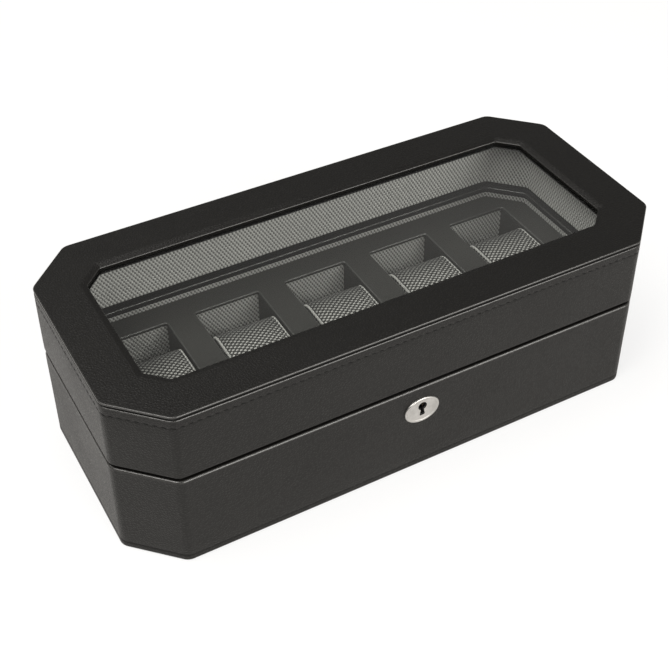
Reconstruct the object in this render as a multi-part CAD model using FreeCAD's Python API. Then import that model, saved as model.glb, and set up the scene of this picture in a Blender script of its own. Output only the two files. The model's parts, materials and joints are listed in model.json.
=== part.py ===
import FreeCAD, Part
import math
import os

# Watch box: a base with a tray and lift-out cushions, and a hinged lid with a window.
# Millimetres, +Z up. The origin is on the table under the middle of the box,
# X runs along its length and the front, with the lock, faces -Y.

# Outline of the closed box
box_length = 336.0
box_depth = 153.6
box_height = 105.9
corner_leg = 26.7
corner_round = 7.0
rim_round = 1.4

# Leather covering, which is turned under the base and stays off the table
leather = 1.0
turn_under = 10.0
ground_gap = 0.4
pad_clearance = 0.5

# Base boards and lining
base_height = 60.6
base_panel = 6.0
base_board = 10.8
base_lining = 2.0

# Lid boards, lining and window
seam_gap = 2.2
lid_board = 10.0
lid_lining = 1.0
top_lip = 1.6
top_groove = 1.0
hem_round = 0.8
window_frame = 26.6
window_round = 3.0
bead_round = 2.5
rail_thickness = 4.4
glass_thickness = 2.0
glass_overlap = 6.0
glass_clearance = 0.3
glass_bed = 0.1
retainer_thickness = 1.0

# Tray
compartments = 5
tray_drop = 6.4
tray_plate = 2.5
tray_board = 2.0
tray_floor = 2.0
tray_margin = 16.1
tray_bar = 17.6
tray_clearance = 0.4
tray_round = 0.8

# Cushions
cushion_length = 55.0
cushion_side_gap = 1.3
cushion_crown = 0.2
cushion_round = 12.0
cushion_foot_round = 7.0
cushion_draw = 1.8
cushion_shoulder = 5.0
cushion_shoulder_draw = 0.4
cushion_seat_gap = 0.3

# Screws
screw_head_radius = 1.6
screw_shank_radius = 0.9
screw_length = 8.0
screw_clearance = 0.05

# Hinges
hinge_inset = 52.0
hinge_length = 28.0
leaf_width = 5.0
leaf_thickness = 1.0
leaf_screw_pitch = 9.0
leaf_screw_margin = 3.25
knuckle_radius = 2.0
knuckle_gap = 0.2
barrel_offset = 1.0
barrel_clearance = 0.3
pin_radius = 0.9
pin_clearance = 0.05
mortise_clearance = 0.1

# Lock in the front wall
case_width = 27.0
case_height = 24.0
case_depth = 6.4
case_wall = 0.8
lock_setback = 1.0
faceplate_length = 42.0
faceplate_thickness = 1.0
faceplate_screw_margin = 4.0
keyhole_drop = 13.6
keyhole_radius = 2.45
keyhole_slot_width = 2.6
keyhole_slot_length = 6.7
escutcheon_width = 21.8
escutcheon_height = 17.3
escutcheon_drop = 16.4
escutcheon_thickness = 1.2
escutcheon_round = 0.5
escutcheon_rim = 1.4
escutcheon_dish = 0.3

# Link plate under the lid and the bolt that holds its hook
link_length = 36.0
link_width = 3.6
link_thickness = 1.0
link_screw_margin = 4.0
link_setback = 2.25
hook_thickness = 1.2
hook_stem = 4.0
hook_foot = 6.0
hook_toe = 2.5
hook_drop = 12.5
hook_slot_clearance = 0.7
bolt_height = 4.0
bolt_clearance = 0.3
bolt_nose_gap = 0.6
bolt_slide_gap = 0.1
bolt_leg_width = 3.5
bolt_leg_thickness = 1.3
bolt_leg_reach = 1.0
ledge_height = 1.0
ledge_depth = 2.4
spring_thickness = 0.3
spring_width = 3.0
spring_rise = 1.5
spring_flat = 2.5

# Heights that follow from the sizes above
panel_bottom = ground_gap + leather
panel_top = panel_bottom + base_panel
base_board_top = base_height - leather
lid_bottom = base_height + seam_gap
lid_board_bottom = lid_bottom + leather
rail_top = box_height - leather
rail_bottom = rail_top - rail_thickness
retainer_bottom = rail_bottom - retainer_thickness
glass_seat = rail_bottom + glass_thickness + glass_bed
tray_top = base_height - tray_drop
tray_bottom = tray_top - tray_plate
floor_top = panel_top + tray_floor

# Distances inwards from the outer face
base_wall = leather + base_board + base_lining
lid_wall = leather + lid_board + lid_lining
tray_inset = base_wall + tray_clearance
rabbet_inset = window_frame - glass_overlap

# Sides of the outline, counter-clockwise, in the order of its corners
SIDES = ("front", "front_right", "right", "back_right", "back", "back_left", "left", "front_left")
CORNERS = ("front_right", "back_right", "back_left", "front_left")

# Closest that two heights can be and still differ
TOLERANCE = 1e-6

V = FreeCAD.Vector


def octagon(inset):
    """Corners of the box outline moved inwards, counter-clockwise from the front left."""
    half_x = box_length / 2 - inset
    half_y = box_depth / 2 - inset
    leg = corner_leg - inset * (2 - math.sqrt(2))
    return [
        V(-half_x + leg, -half_y, 0),
        V(half_x - leg, -half_y, 0),
        V(half_x, -half_y + leg, 0),
        V(half_x, half_y - leg, 0),
        V(half_x - leg, half_y, 0),
        V(-half_x + leg, half_y, 0),
        V(-half_x, half_y - leg, 0),
        V(-half_x, -half_y + leg, 0),
    ]


def rounded_edges(corners, radii):
    """Lines and arcs round an outline, with each corner rounded to its own radius."""
    arcs = []
    for i, (corner, radius) in enumerate(zip(corners, radii)):
        to_last = (corners[i - 1] - corner).normalize()
        to_next = (corners[(i + 1) % len(corners)] - corner).normalize()
        half_turn = (math.pi - to_last.getAngle(to_next)) / 2
        setback = radius * math.tan(half_turn)
        bulge = radius / math.cos(half_turn) - radius
        inwards = (to_last + to_next).normalize()
        arcs.append((corner + to_last * setback, corner + inwards * bulge, corner + to_next * setback))
    edges = []
    for i, (start, middle, end) in enumerate(arcs):
        edges.append(Part.Arc(start, middle, end).toShape())
        edges.append(Part.LineSegment(end, arcs[(i + 1) % len(arcs)][0]).toShape())
    return edges


def prism(inset, bottom, top, radius=0.0):
    """Upright solid on the outline, moved inwards by inset."""
    corners = octagon(inset)
    if radius > 0:
        wire = Part.Wire(rounded_edges(corners, [radius] * len(corners)))
    else:
        wire = Part.makePolygon(corners + corners[:1])
    solid = Part.Face(wire).extrude(V(0, 0, top - bottom))
    solid.translate(V(0, 0, bottom))
    return solid


def ring(outer, inner, bottom, top):
    """Upright ring between two insets."""
    return prism(outer, bottom, top).cut(prism(inner, bottom, top))


def panel(side, outer, inner, bottom, top):
    """Board along one side of the outline, mitred at both ends."""
    start = SIDES.index(side)
    end = (start + 1) % len(SIDES)
    outside = octagon(outer)
    inside = octagon(inner)
    corners = [outside[start], outside[end], inside[end], inside[start], outside[start]]
    board = Part.Face(Part.makePolygon(corners)).extrude(V(0, 0, top - bottom))
    board.translate(V(0, 0, bottom))
    return board


def block(x_range, y_range, z_range):
    """Box between two limits along each axis."""
    (x0, x1), (y0, y1), (z0, z1) = x_range, y_range, z_range
    return Part.makeBox(x1 - x0, y1 - y0, z1 - z0, V(x0, y0, z0))


def edges_at_height(solid, height):
    """Edges that lie flat at one height."""
    limits = (height - TOLERANCE, height + TOLERANCE)
    return [e for e in solid.Edges if limits[0] < e.BoundBox.ZMin and e.BoundBox.ZMax < limits[1]]


def around(middle, size):
    """Limits of a length centred on a place."""
    return middle - size / 2, middle + size / 2


def grown(limits, margin):
    """Limits moved apart by a margin at each end."""
    return limits[0] - margin, limits[1] + margin


def screw(x, y, face, upwards, grow=0.0):
    """Countersunk screw with its head flush with a face. With grow it is the screw's hole."""
    way = V(0, 0, 1 if upwards else -1)
    head_depth = screw_head_radius - screw_shank_radius
    start = V(x, y, face)
    head = Part.makeCone(screw_head_radius + grow, screw_shank_radius + grow, head_depth, start, way)
    shank = Part.makeCylinder(screw_shank_radius + grow, screw_length + grow, start, way)
    return head.fuse(shank).removeSplitter()


def with_holes(solid, screws, upwards):
    """Solid with a hole for each screw, given by its x, y and face."""
    for x, y, face in screws:
        solid = solid.cut(screw(x, y, face, upwards, screw_clearance))
    return solid


def save(node, *solids):
    """Writes the solids of one node."""
    shape = solids[0] if len(solids) == 1 else Part.makeCompound(list(solids))
    shape.exportStep(os.path.join("parts", node + ".step"))


# Places of the lock, shared by the base and the lid
front_face = -box_depth / 2
lock_y = (front_face + leather + lock_setback, front_face + leather + lock_setback + case_depth)
case_x = around(0, case_width)
case_top = base_height - faceplate_thickness
case_z = (case_top - case_height, case_top)
cavity_x = grown(case_x, -case_wall)
cavity_y = (lock_y[0] + case_wall, lock_y[1] - case_wall)
cavity_z = (case_z[0] + case_wall, case_top)
faceplate_x = around(0, faceplate_length)
faceplate_z = (case_top, base_height)
keyhole_z = base_height - keyhole_drop
faceplate_screw_x = faceplate_length / 2 - faceplate_screw_margin
faceplate_screws = [(x, sum(lock_y) / 2, base_height) for x in (-faceplate_screw_x, faceplate_screw_x)]

link_y = around(front_face + leather + link_setback, link_width)
link_x = around(0, link_length)
link_z = (lid_bottom, lid_bottom + link_thickness)
link_screw_x = link_length / 2 - link_screw_margin
link_screws = [(x, sum(link_y) / 2, lid_bottom) for x in (-link_screw_x, link_screw_x)]
hook_x = around(0, hook_stem + hook_foot)
hook_y = (link_y[1] - hook_thickness, link_y[1])
hook_bottom = lid_bottom - hook_drop
bolt_bottom = hook_bottom + hook_toe + bolt_clearance
bolt_top = bolt_bottom + bolt_height

# Places of the hinges, shared by the base and the lid
back_face = box_depth / 2
hinge_x = box_length / 2 - corner_leg - hinge_inset
hinge_middles = (-hinge_x, hinge_x)
axis_y = back_face + barrel_offset
axis_z = base_height + seam_gap / 2
knuckle_length = (hinge_length - 2 * knuckle_gap) / 3
knuckle_step = knuckle_length + knuckle_gap
leaf_screw_y = back_face - leaf_screw_margin
base_leaf_z = (base_height - leaf_thickness, base_height)
lid_leaf_z = (lid_bottom, lid_bottom + leaf_thickness)
leaf_y = (back_face - leaf_width, axis_y)


def leaf_screws(face):
    """Places of the screws of both hinges in one set of leaves."""
    steps = (-leaf_screw_pitch, 0, leaf_screw_pitch)
    return [(middle + step, leaf_screw_y, face) for middle in hinge_middles for step in steps]


def rod(radius, x_range):
    """Round bar along the hinge axis."""
    return Part.makeCylinder(radius, x_range[1] - x_range[0], V(x_range[0], axis_y, axis_z), V(1, 0, 0))


def hinge_leaf(middle, leaf_z, own_steps, other_steps):
    """One leaf: a plate with its own knuckles, clear of the other leaf's."""
    leaf = block(around(middle, hinge_length), leaf_y, leaf_z)
    for step in own_steps:
        leaf = leaf.fuse(rod(knuckle_radius, around(middle + step * knuckle_step, knuckle_length)))
    for step in other_steps:
        room = grown(around(middle + step * knuckle_step, knuckle_length), knuckle_gap)
        leaf = leaf.cut(rod(knuckle_radius + barrel_clearance, room))
    leaf = leaf.cut(rod(pin_radius + pin_clearance, around(middle, hinge_length)))
    return leaf.removeSplitter()


def hinge_recess(middle, leaf_z):
    """Room for one leaf and the barrel in the boards and the leather."""
    x_range = grown(around(middle, hinge_length), mortise_clearance)
    y_range = (leaf_y[0] - mortise_clearance, axis_y)
    return block(x_range, y_range, leaf_z).fuse(rod(knuckle_radius + barrel_clearance, x_range))


def keyhole(y_range):
    """Keyhole through a depth, as a solid to cut away."""
    length = y_range[1] - y_range[0]
    head = Part.makeCylinder(keyhole_radius, length, V(0, y_range[0], keyhole_z), V(0, 1, 0))
    slot = block(around(0, keyhole_slot_width), y_range, (keyhole_z - keyhole_slot_length, keyhole_z))
    return head.fuse(slot).removeSplitter()


def make_base_boards():
    """Bottom panel, pad and wall boards of the base."""
    save("base_underside_pad", prism(turn_under + pad_clearance, 0, panel_bottom))
    save("base_bottom_panel", prism(leather, panel_bottom, panel_top))
    limits = (leather, leather + base_board, panel_top, base_board_top)

    front = panel("front", *limits)
    mortise_z = (case_z[0] - mortise_clearance, case_top)
    front = front.cut(block(grown(case_x, mortise_clearance), grown(lock_y, mortise_clearance), mortise_z))
    front = front.cut(block(grown(faceplate_x, mortise_clearance), grown(lock_y, mortise_clearance), faceplate_z))
    front = front.cut(keyhole((front_face, lock_y[0])))
    save("base_front_wall", with_holes(front, faceplate_screws, False))

    back = panel("back", *limits)
    for middle in hinge_middles:
        back = back.cut(hinge_recess(middle, base_leaf_z))
    save("base_back_wall", with_holes(back, leaf_screws(base_height), False))
    save("base_left_wall", panel("left", *limits))
    save("base_right_wall", panel("right", *limits))
    save("base_corner_walls", *[panel(side, *limits) for side in CORNERS])


def make_base_covering():
    """Leather over the outside and the rim, turned under, and the woven lining."""
    skin = prism(0, ground_gap, base_height, corner_round)
    rims = edges_at_height(skin, base_height) + edges_at_height(skin, ground_gap)
    skin = skin.makeFillet(rim_round, rims)
    skin = skin.cut(prism(leather, panel_bottom, base_board_top))
    skin = skin.cut(prism(base_wall, base_board_top, base_height))
    skin = skin.cut(prism(turn_under, ground_gap, panel_bottom))
    skin = skin.cut(block(grown(faceplate_x, mortise_clearance), grown(lock_y, mortise_clearance), faceplate_z))
    skin = skin.cut(keyhole((front_face, front_face + leather)))
    for middle in hinge_middles:
        skin = skin.cut(hinge_recess(middle, base_leaf_z))
    save("base_leather_wrap", skin)
    save("base_lining", ring(leather + base_board, base_wall, panel_top, base_board_top))


def make_tray():
    """Tray frame with an opening over each compartment, and the compartment boards."""
    inner_x = box_length - 2 * tray_inset - 2 * tray_margin
    inner_y = box_depth - 2 * tray_inset - 2 * tray_margin
    opening = (inner_x - (compartments - 1) * tray_bar) / compartments
    pitch = opening + tray_bar
    middles = [(i - (compartments - 1) / 2) * pitch for i in range(compartments)]
    opening_y = around(0, inner_y)
    walls_z = (floor_top, tray_bottom)

    frame = prism(tray_inset, tray_bottom, tray_top)
    for middle in middles:
        frame = frame.cut(block(around(middle, opening), opening_y, (tray_bottom, tray_top)))
    frame = frame.makeFillet(tray_round, edges_at_height(frame, tray_top))
    save("tray_frame", frame)

    side_walls = []
    for middle in middles:
        left, right = around(middle, opening)
        side_walls.append(block((left - tray_board, left), opening_y, walls_z))
        side_walls.append(block((right, right + tray_board), opening_y, walls_z))
    save("tray_side_walls", *side_walls)

    tray_x = grown(around(0, inner_x), tray_board)
    save("tray_front_wall", block(tray_x, (opening_y[0] - tray_board, opening_y[0]), walls_z))
    save("tray_back_wall", block(tray_x, (opening_y[1], opening_y[1] + tray_board), walls_z))
    save("tray_floor", block(tray_x, grown(opening_y, tray_board), (panel_top, floor_top)))

    for number, middle in enumerate(middles, 1):
        save(f"watch_cushion_{number}", make_cushion(middle, opening - 2 * cushion_side_gap))


def cushion_section(x, draw):
    """Outline of a cushion across the box: flat below, rounded above, drawn in at its ends."""
    half = cushion_length / 2 - draw
    top = tray_top + cushion_crown - draw
    bottom = floor_top + cushion_seat_gap
    corners = [V(x, -half, bottom), V(x, half, bottom), V(x, half, top), V(x, -half, top)]
    radii = [cushion_foot_round, cushion_foot_round, cushion_round, cushion_round]
    return Part.Wire(rounded_edges(corners, radii))


def make_cushion(middle, width):
    """Crowned watch cushion, fullest in the middle and drawn in towards its end seams."""
    left, right = around(middle, width)
    sections = [
        cushion_section(left, cushion_draw),
        cushion_section(left + cushion_shoulder, cushion_shoulder_draw),
        cushion_section(middle, 0),
        cushion_section(right - cushion_shoulder, cushion_shoulder_draw),
        cushion_section(right, cushion_draw),
    ]
    return Part.makeLoft(sections, True, False)


def make_lid_boards():
    """Wall boards and the mitred rails of the lid's top frame."""
    walls = (leather, leather + lid_board, lid_board_bottom, rail_bottom)

    front = panel("front", *walls)
    front = front.cut(block(grown(link_x, mortise_clearance), link_y, link_z))
    save("lid_front_wall", with_holes(front, link_screws, True))

    back = panel("back", *walls)
    for middle in hinge_middles:
        back = back.cut(hinge_recess(middle, lid_leaf_z))
    save("lid_back_wall", with_holes(back, leaf_screws(lid_bottom), True))
    save("lid_left_wall", panel("left", *walls))
    save("lid_right_wall", panel("right", *walls))
    save("lid_corner_walls", *[panel(side, *walls) for side in CORNERS])

    rabbet = prism(rabbet_inset, rail_bottom, glass_seat)
    rails = (leather, window_frame - leather, rail_bottom, rail_top)
    save("lid_top_front_rail", panel("front", *rails).cut(rabbet))
    save("lid_top_back_rail", panel("back", *rails).cut(rabbet))
    save("lid_top_end_rails", *[panel(side, *rails).cut(rabbet) for side in ("left", "right")])
    save("lid_top_corner_rails", *[panel(side, *rails).cut(rabbet) for side in CORNERS])


def make_lid_covering():
    """Leather top cover, leather band round the sides, and the woven lining."""
    cover = prism(0, box_height - top_lip, box_height, corner_round)
    cover = cover.makeFillet(hem_round, edges_at_height(cover, box_height))
    cover = cover.cut(prism(leather, box_height - top_lip, rail_top))
    cover = cover.fuse(prism(window_frame - leather, glass_seat, rail_top + leather / 2))
    cover = cover.cut(prism(window_frame, glass_seat, box_height, window_round))
    cover = cover.removeSplitter()
    window = prism(window_frame - leather, rail_top, box_height).BoundBox
    bead = [e for e in edges_at_height(cover, box_height) if window.isInside(e.BoundBox.Center)]
    cover = cover.makeFillet(bead_round, bead)
    save("lid_leather_top", cover)

    band_top = box_height - top_lip - top_groove
    band = prism(0, lid_bottom, band_top, corner_round)
    band = band.makeFillet(rim_round, edges_at_height(band, lid_bottom))
    band = band.makeFillet(hem_round, edges_at_height(band, band_top))
    band = band.cut(prism(leather, lid_board_bottom, band_top))
    band = band.cut(prism(lid_wall, lid_bottom, lid_board_bottom))
    band = band.cut(block(grown(link_x, mortise_clearance), grown(link_y, mortise_clearance), link_z))
    for middle in hinge_middles:
        band = band.cut(hinge_recess(middle, lid_leaf_z))
    save("lid_leather_band", band)
    save("lid_lining", ring(leather + lid_board, lid_wall, lid_board_bottom, retainer_bottom))


def make_window():
    """Glass in the rabbet of the rails, and the retainer that holds it up."""
    glass_inset = rabbet_inset + glass_clearance
    save("window_glass", prism(glass_inset, rail_bottom, rail_bottom + glass_thickness))
    save("glass_retainer", ring(leather + lid_board, window_frame, retainer_bottom, rail_bottom))


def make_hinges():
    """Two butt hinges with their pins and screws."""
    outer_steps, inner_steps = (-1, 1), (0,)
    base_leaves = [hinge_leaf(m, base_leaf_z, outer_steps, inner_steps) for m in hinge_middles]
    lid_leaves = [hinge_leaf(m, lid_leaf_z, inner_steps, outer_steps) for m in hinge_middles]
    base_screws = leaf_screws(base_height)
    lid_screws = leaf_screws(lid_bottom)
    save("hinge_base_leaves", *[with_holes(leaf, base_screws, False) for leaf in base_leaves])
    save("hinge_lid_leaves", *[with_holes(leaf, lid_screws, True) for leaf in lid_leaves])
    save("hinge_pins", *[rod(pin_radius, around(m, hinge_length)) for m in hinge_middles])
    save("hinge_base_screws", *[screw(x, y, face, False) for x, y, face in base_screws])
    save("hinge_lid_screws", *[screw(x, y, face, True) for x, y, face in lid_screws])


def make_escutcheon():
    """Oval plate round the keyhole, with a raised rim."""
    half_width, half_height = escutcheon_width / 2, escutcheon_height / 2

    def oval(margin, bottom, top):
        edge = Part.Ellipse(V(0, 0, 0), half_width - margin, half_height - margin).toShape()
        solid = Part.Face(Part.Wire(edge)).extrude(V(0, 0, top - bottom))
        solid.translate(V(0, 0, bottom))
        return solid

    plate = oval(0, 0, escutcheon_thickness)
    plate = plate.makeFillet(escutcheon_round, edges_at_height(plate, escutcheon_thickness))
    plate = plate.cut(oval(escutcheon_rim, escutcheon_thickness - escutcheon_dish, escutcheon_thickness))
    plate.rotate(V(0, 0, 0), V(1, 0, 0), 90)
    plate.translate(V(0, front_face, base_height - escutcheon_drop))
    save("lock_escutcheon", plate.cut(keyhole((front_face - escutcheon_thickness, front_face))))


def make_lock():
    """Lock case with its cover, faceplate, bolt and spring."""
    case_y = (lock_y[0], cavity_y[1])
    nose = hook_x[1] + bolt_nose_gap
    tail = cavity_x[1] - bolt_clearance
    ledge_top = bolt_bottom - bolt_slide_gap

    case = block(case_x, case_y, case_z).cut(block(cavity_x, cavity_y, cavity_z))
    ledge_y = (cavity_y[0], cavity_y[0] + ledge_depth)
    case = case.fuse(block((nose, cavity_x[1]), ledge_y, (ledge_top - ledge_height, ledge_top)))
    case = case.cut(keyhole((lock_y[0], cavity_y[0])))
    save("lock_case", case.removeSplitter())
    save("lock_cover", block(case_x, (cavity_y[1], lock_y[1]), case_z))

    plate = block(faceplate_x, lock_y, faceplate_z)
    plate = plate.cut(block(grown(hook_x, hook_slot_clearance), grown(hook_y, hook_slot_clearance), faceplate_z))
    save("lock_faceplate", with_holes(plate, faceplate_screws, False))
    save("lock_faceplate_screws", *[screw(x, y, face, False) for x, y, face in faceplate_screws])

    bar_y = grown(cavity_y, -bolt_slide_gap)
    bar = block((nose, tail), bar_y, (bolt_bottom, bolt_top))
    leg_y = (bar_y[1] - bolt_leg_thickness, bar_y[1])
    leg = block((tail - bolt_leg_width, tail), leg_y, (keyhole_z - bolt_leg_reach, bolt_bottom))
    save("lock_bolt", bar.fuse(leg).removeSplitter())

    low = bolt_top + bolt_slide_gap
    bend = cavity_x[1] - spring_flat
    strip = [
        (cavity_x[1], low + spring_rise + spring_thickness),
        (cavity_x[1], low + spring_rise),
        (bend, low),
        (bend - spring_flat, low),
        (bend - spring_flat, low + spring_thickness),
        (bend, low + spring_thickness),
    ]
    spring_y = around(sum(cavity_y) / 2, spring_width)
    corners = [V(x, spring_y[0], z) for x, z in strip + strip[:1]]
    save("lock_spring", Part.Face(Part.makePolygon(corners)).extrude(V(0, spring_width, 0)))


def make_link_plate():
    """Plate under the lid's rim, with the hook that drops into the lock."""
    plate = with_holes(block(link_x, link_y, link_z), link_screws, True)
    stem = block((hook_x[0], hook_x[0] + hook_stem), hook_y, (hook_bottom, lid_bottom))
    foot = block(hook_x, hook_y, (hook_bottom, hook_bottom + hook_toe))
    save("lock_link_plate", plate.fuse(stem).fuse(foot).removeSplitter())
    save("link_plate_screws", *[screw(x, y, face, True) for x, y, face in link_screws])


os.makedirs("parts", exist_ok=True)
make_base_boards()
make_base_covering()
make_tray()
make_lid_boards()
make_lid_covering()
make_window()
make_hinges()
make_escutcheon()
make_lock()
make_link_plate()
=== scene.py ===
"""Looks of a cut-corner watch box: leatherette over board, a glazed lid, a lock, and five woven cushions.

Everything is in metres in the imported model's own frame: X along the box, the lock on the -Y side, +Z up.
"""

from __future__ import annotations

import json
import logging
import math
from collections.abc import Iterable, Iterator, Mapping, Sequence
from dataclasses import dataclass
from enum import Enum
from itertools import accumulate
from typing import Any, NamedTuple

import bmesh
import bpy
from mathutils import Matrix, Quaternion, Vector, noise

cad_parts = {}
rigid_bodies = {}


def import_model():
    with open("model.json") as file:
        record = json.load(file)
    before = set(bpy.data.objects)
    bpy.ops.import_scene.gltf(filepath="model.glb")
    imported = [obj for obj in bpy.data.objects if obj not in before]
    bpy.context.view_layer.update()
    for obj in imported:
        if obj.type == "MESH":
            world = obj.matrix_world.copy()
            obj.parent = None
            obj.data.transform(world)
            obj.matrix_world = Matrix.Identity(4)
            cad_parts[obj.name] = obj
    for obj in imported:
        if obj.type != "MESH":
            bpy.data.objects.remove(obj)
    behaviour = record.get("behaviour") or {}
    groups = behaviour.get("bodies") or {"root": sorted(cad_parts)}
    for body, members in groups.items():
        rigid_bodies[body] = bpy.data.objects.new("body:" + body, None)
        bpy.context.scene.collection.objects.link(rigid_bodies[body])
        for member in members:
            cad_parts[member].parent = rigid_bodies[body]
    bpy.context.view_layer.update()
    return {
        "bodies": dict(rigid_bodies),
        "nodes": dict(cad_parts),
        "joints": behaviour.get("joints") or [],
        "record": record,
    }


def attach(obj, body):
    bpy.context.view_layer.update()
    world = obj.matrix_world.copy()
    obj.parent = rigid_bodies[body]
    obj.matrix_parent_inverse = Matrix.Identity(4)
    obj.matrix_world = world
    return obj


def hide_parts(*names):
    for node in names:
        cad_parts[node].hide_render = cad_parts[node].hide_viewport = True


LOG = logging.getLogger("watch_box")
MM = 0.001
CLOTH_UV = "cloth"
# Vertex layer read by the leather and the cloth: above 0 abrasion, sewn hems and painted highlight, below 0 painted
# shade.
WEAR_AND_PAINTED_LIGHT = "wear"
SHARP_ANGLE = math.radians(38)
BROKEN_ANGLE = math.radians(35)
CRISP = 0.01 * MM

Colour = tuple[float, float, float]
Point = tuple[float, float, float]
Spot = tuple[float, float]
Box = tuple[Point, Point]

WHITE: Colour = (1.0, 1.0, 1.0)


class Body(Enum):
    """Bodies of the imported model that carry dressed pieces."""

    BASE = "base"
    LID = "lid"


class Slot(Enum):
    """Material slots of the record for the scene's own meshes, passed along but not given to them."""

    BLACK_LEATHER = "black_leather"
    TRAY_LEATHER = "tray_leather"
    WOVEN_LINING = "woven_lining"
    CUSHION_WEAVE = "cushion_weave"
    UNDERSIDE_FELT = "underside_felt"
    SATIN_NICKEL = "satin_nickel"
    BLACKENED_STEEL = "blackened_steel"


class Field:
    """One output of a node, with arithmetic that adds the nodes it needs."""

    def __init__(self, nodes: Nodes, socket: bpy.types.NodeSocket) -> None:
        """Keeps the node tree and the socket."""
        self.nodes = nodes
        self.socket = socket

    def _join(self, operation: str, first: Any, second: Any) -> Field:
        """Adds a Math node, or a Vector Math node if either side is a vector.

        Args:
            operation: The node's operation.
            first: The left side, a field or a number.
            second: The right side, a field or a number.

        Returns:
            The node's result.
        """
        sides = [side.socket.type for side in (first, second) if isinstance(side, Field)]
        kind = "ShaderNodeVectorMath" if "VECTOR" in sides else "ShaderNodeMath"
        return self.nodes.node(kind, {"operation": operation}, {0: first, 1: second})

    def __add__(self, other: Any) -> Field:
        """This plus another."""
        return self._join("ADD", self, other)

    def __radd__(self, other: Any) -> Field:
        """A number plus this."""
        return self._join("ADD", other, self)

    def __sub__(self, other: Any) -> Field:
        """This minus another."""
        return self._join("SUBTRACT", self, other)

    def __rsub__(self, other: Any) -> Field:
        """A number minus this."""
        return self._join("SUBTRACT", other, self)

    def __mul__(self, other: Any) -> Field:
        """This times another."""
        return self._join("MULTIPLY", self, other)

    def __rmul__(self, other: Any) -> Field:
        """A number times this."""
        return self._join("MULTIPLY", other, self)

    def __abs__(self) -> Field:
        """This without its sign."""
        return self.nodes.node("ShaderNodeMath", {"operation": "ABSOLUTE"}, {0: self})

    def cosine(self) -> Field:
        """Cosine of this, in radians."""
        return self.nodes.node("ShaderNodeMath", {"operation": "COSINE"}, {0: self})

    def step(self, low: float, high: float) -> Field:
        """Smooth step of this.

        Args:
            low: Where the result leaves 0.
            high: Where the result reaches 1.

        Returns:
            The stepped value.
        """
        settings = {"interpolation_type": "SMOOTHSTEP"}
        return self.nodes.node("ShaderNodeMapRange", settings, {"Value": self, "From Min": low, "From Max": high})


class Nodes:
    """A node tree that is filled by one method."""

    def __init__(self, tree: bpy.types.NodeTree) -> None:
        """Empties the tree."""
        self.tree = tree
        self.tree.nodes.clear()

    def node(
        self,
        kind: str,
        settings: Mapping[str, Any] | None = None,
        inputs: Mapping[str | int, Any] | None = None,
        output: str | int = 0,
    ) -> Field:
        """Adds one node.

        Args:
            kind: The node's type.
            settings: The node's own settings, set first. A ramp's stops are (place, colour) pairs.
            inputs: Fields or values for its sockets, by name or number.
            output: Which output to give back.

        Returns:
            The chosen output.
        """
        made = self.tree.nodes.new(kind)
        for key, value in (settings or {}).items():
            if key == "stops":
                self._set_stops(made.color_ramp, value)
            else:
                setattr(made, key, value)
        for key, value in (inputs or {}).items():
            self._feed(made.inputs[key], value)
        return Field(self, made.outputs[output]) if len(made.outputs) else Field(self, None)

    def _set_stops(self, ramp: bpy.types.ColorRamp, stops: Sequence[tuple[float, Colour]]) -> None:
        """Places the stops of a ramp.

        Args:
            ramp: The ramp, with its two first stops.
            stops: Two or more (place, colour) pairs in order.
        """
        while len(ramp.elements) < len(stops):
            ramp.elements.new(1.0)
        for element, (place, colour) in zip(ramp.elements, stops):
            element.position = place
            element.color = (*colour, 1.0)

    def _feed(self, socket: bpy.types.NodeSocket, value: Any) -> None:
        """Links a field to a socket, or sets the socket's own value.

        Args:
            socket: The socket to feed.
            value: A field, a number, or a colour or vector.
        """
        if isinstance(value, Field):
            self.tree.links.new(value.socket, socket)
        elif socket.type == "RGBA":
            socket.default_value = (*value, 1.0)
        elif socket.type == "VECTOR" and isinstance(value, (int, float)):
            socket.default_value = (value, value, value)
        else:
            socket.default_value = value

    def place(self) -> Field:
        """Place on the piece in metres, which stays with the piece when it moves."""
        return self.node("ShaderNodeTexCoord", output="Object")

    def axis(self, where: Field, name: str) -> Field:
        """One axis of a place, by its name X, Y or Z."""
        return self.node("ShaderNodeSeparateXYZ", {}, {0: where}, output=name)

    def wear(self) -> tuple[Field, Field]:
        """How far the surface is abraded, sewn over or given a painted highlight, and how much painted shade it has,
        each from 0 to 1.
        """
        wear_and_light_layer = self.node("ShaderNodeAttribute", {"attribute_name": WEAR_AND_PAINTED_LIGHT}, output="Fac")
        return wear_and_light_layer.step(0.0, 1.0), (0 - wear_and_light_layer).step(0.0, 1.0)

    def noise(self, where: Field, size: float, detail: float = 2.0) -> Field:
        """Soft noise from 0 to 1.

        Args:
            where: The place that it is read at.
            size: Size of its largest features in metres.
            detail: How many finer layers it has.

        Returns:
            The noise value.
        """
        return self.node("ShaderNodeTexNoise", {}, {"Vector": where, "Scale": 1 / size, "Detail": detail})

    def mix(self, factor: Any, first: Any, second: Any) -> Field:
        """Mix of two colours.

        Args:
            factor: 0 gives the first, 1 the second.
            first: A colour or a field.
            second: A colour or a field.

        Returns:
            The mixed colour.
        """
        return self.node("ShaderNodeMix", {"data_type": "RGBA"}, {0: factor, 6: first, 7: second}, output=2)

    def bump(self, height: Field, depth: float) -> Field:
        """Normal of a surface with fine relief.

        Args:
            height: Height from 0 to 1.
            depth: Depth of the relief in metres.

        Returns:
            The bent normal.
        """
        return self.node("ShaderNodeBump", {}, {"Height": height, "Distance": depth, "Strength": 1.0})

    def surface(self, **inputs: Any) -> None:
        """Ends the tree in a Principled surface.

        Args:
            inputs: Fields or values for its sockets, whose names are written with _ for spaces.
        """
        named = {key.replace("_", " "): value for key, value in inputs.items()}
        shader = self.node("ShaderNodeBsdfPrincipled", {}, named)
        self.node("ShaderNodeOutputMaterial", {}, {"Surface": shader})


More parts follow.
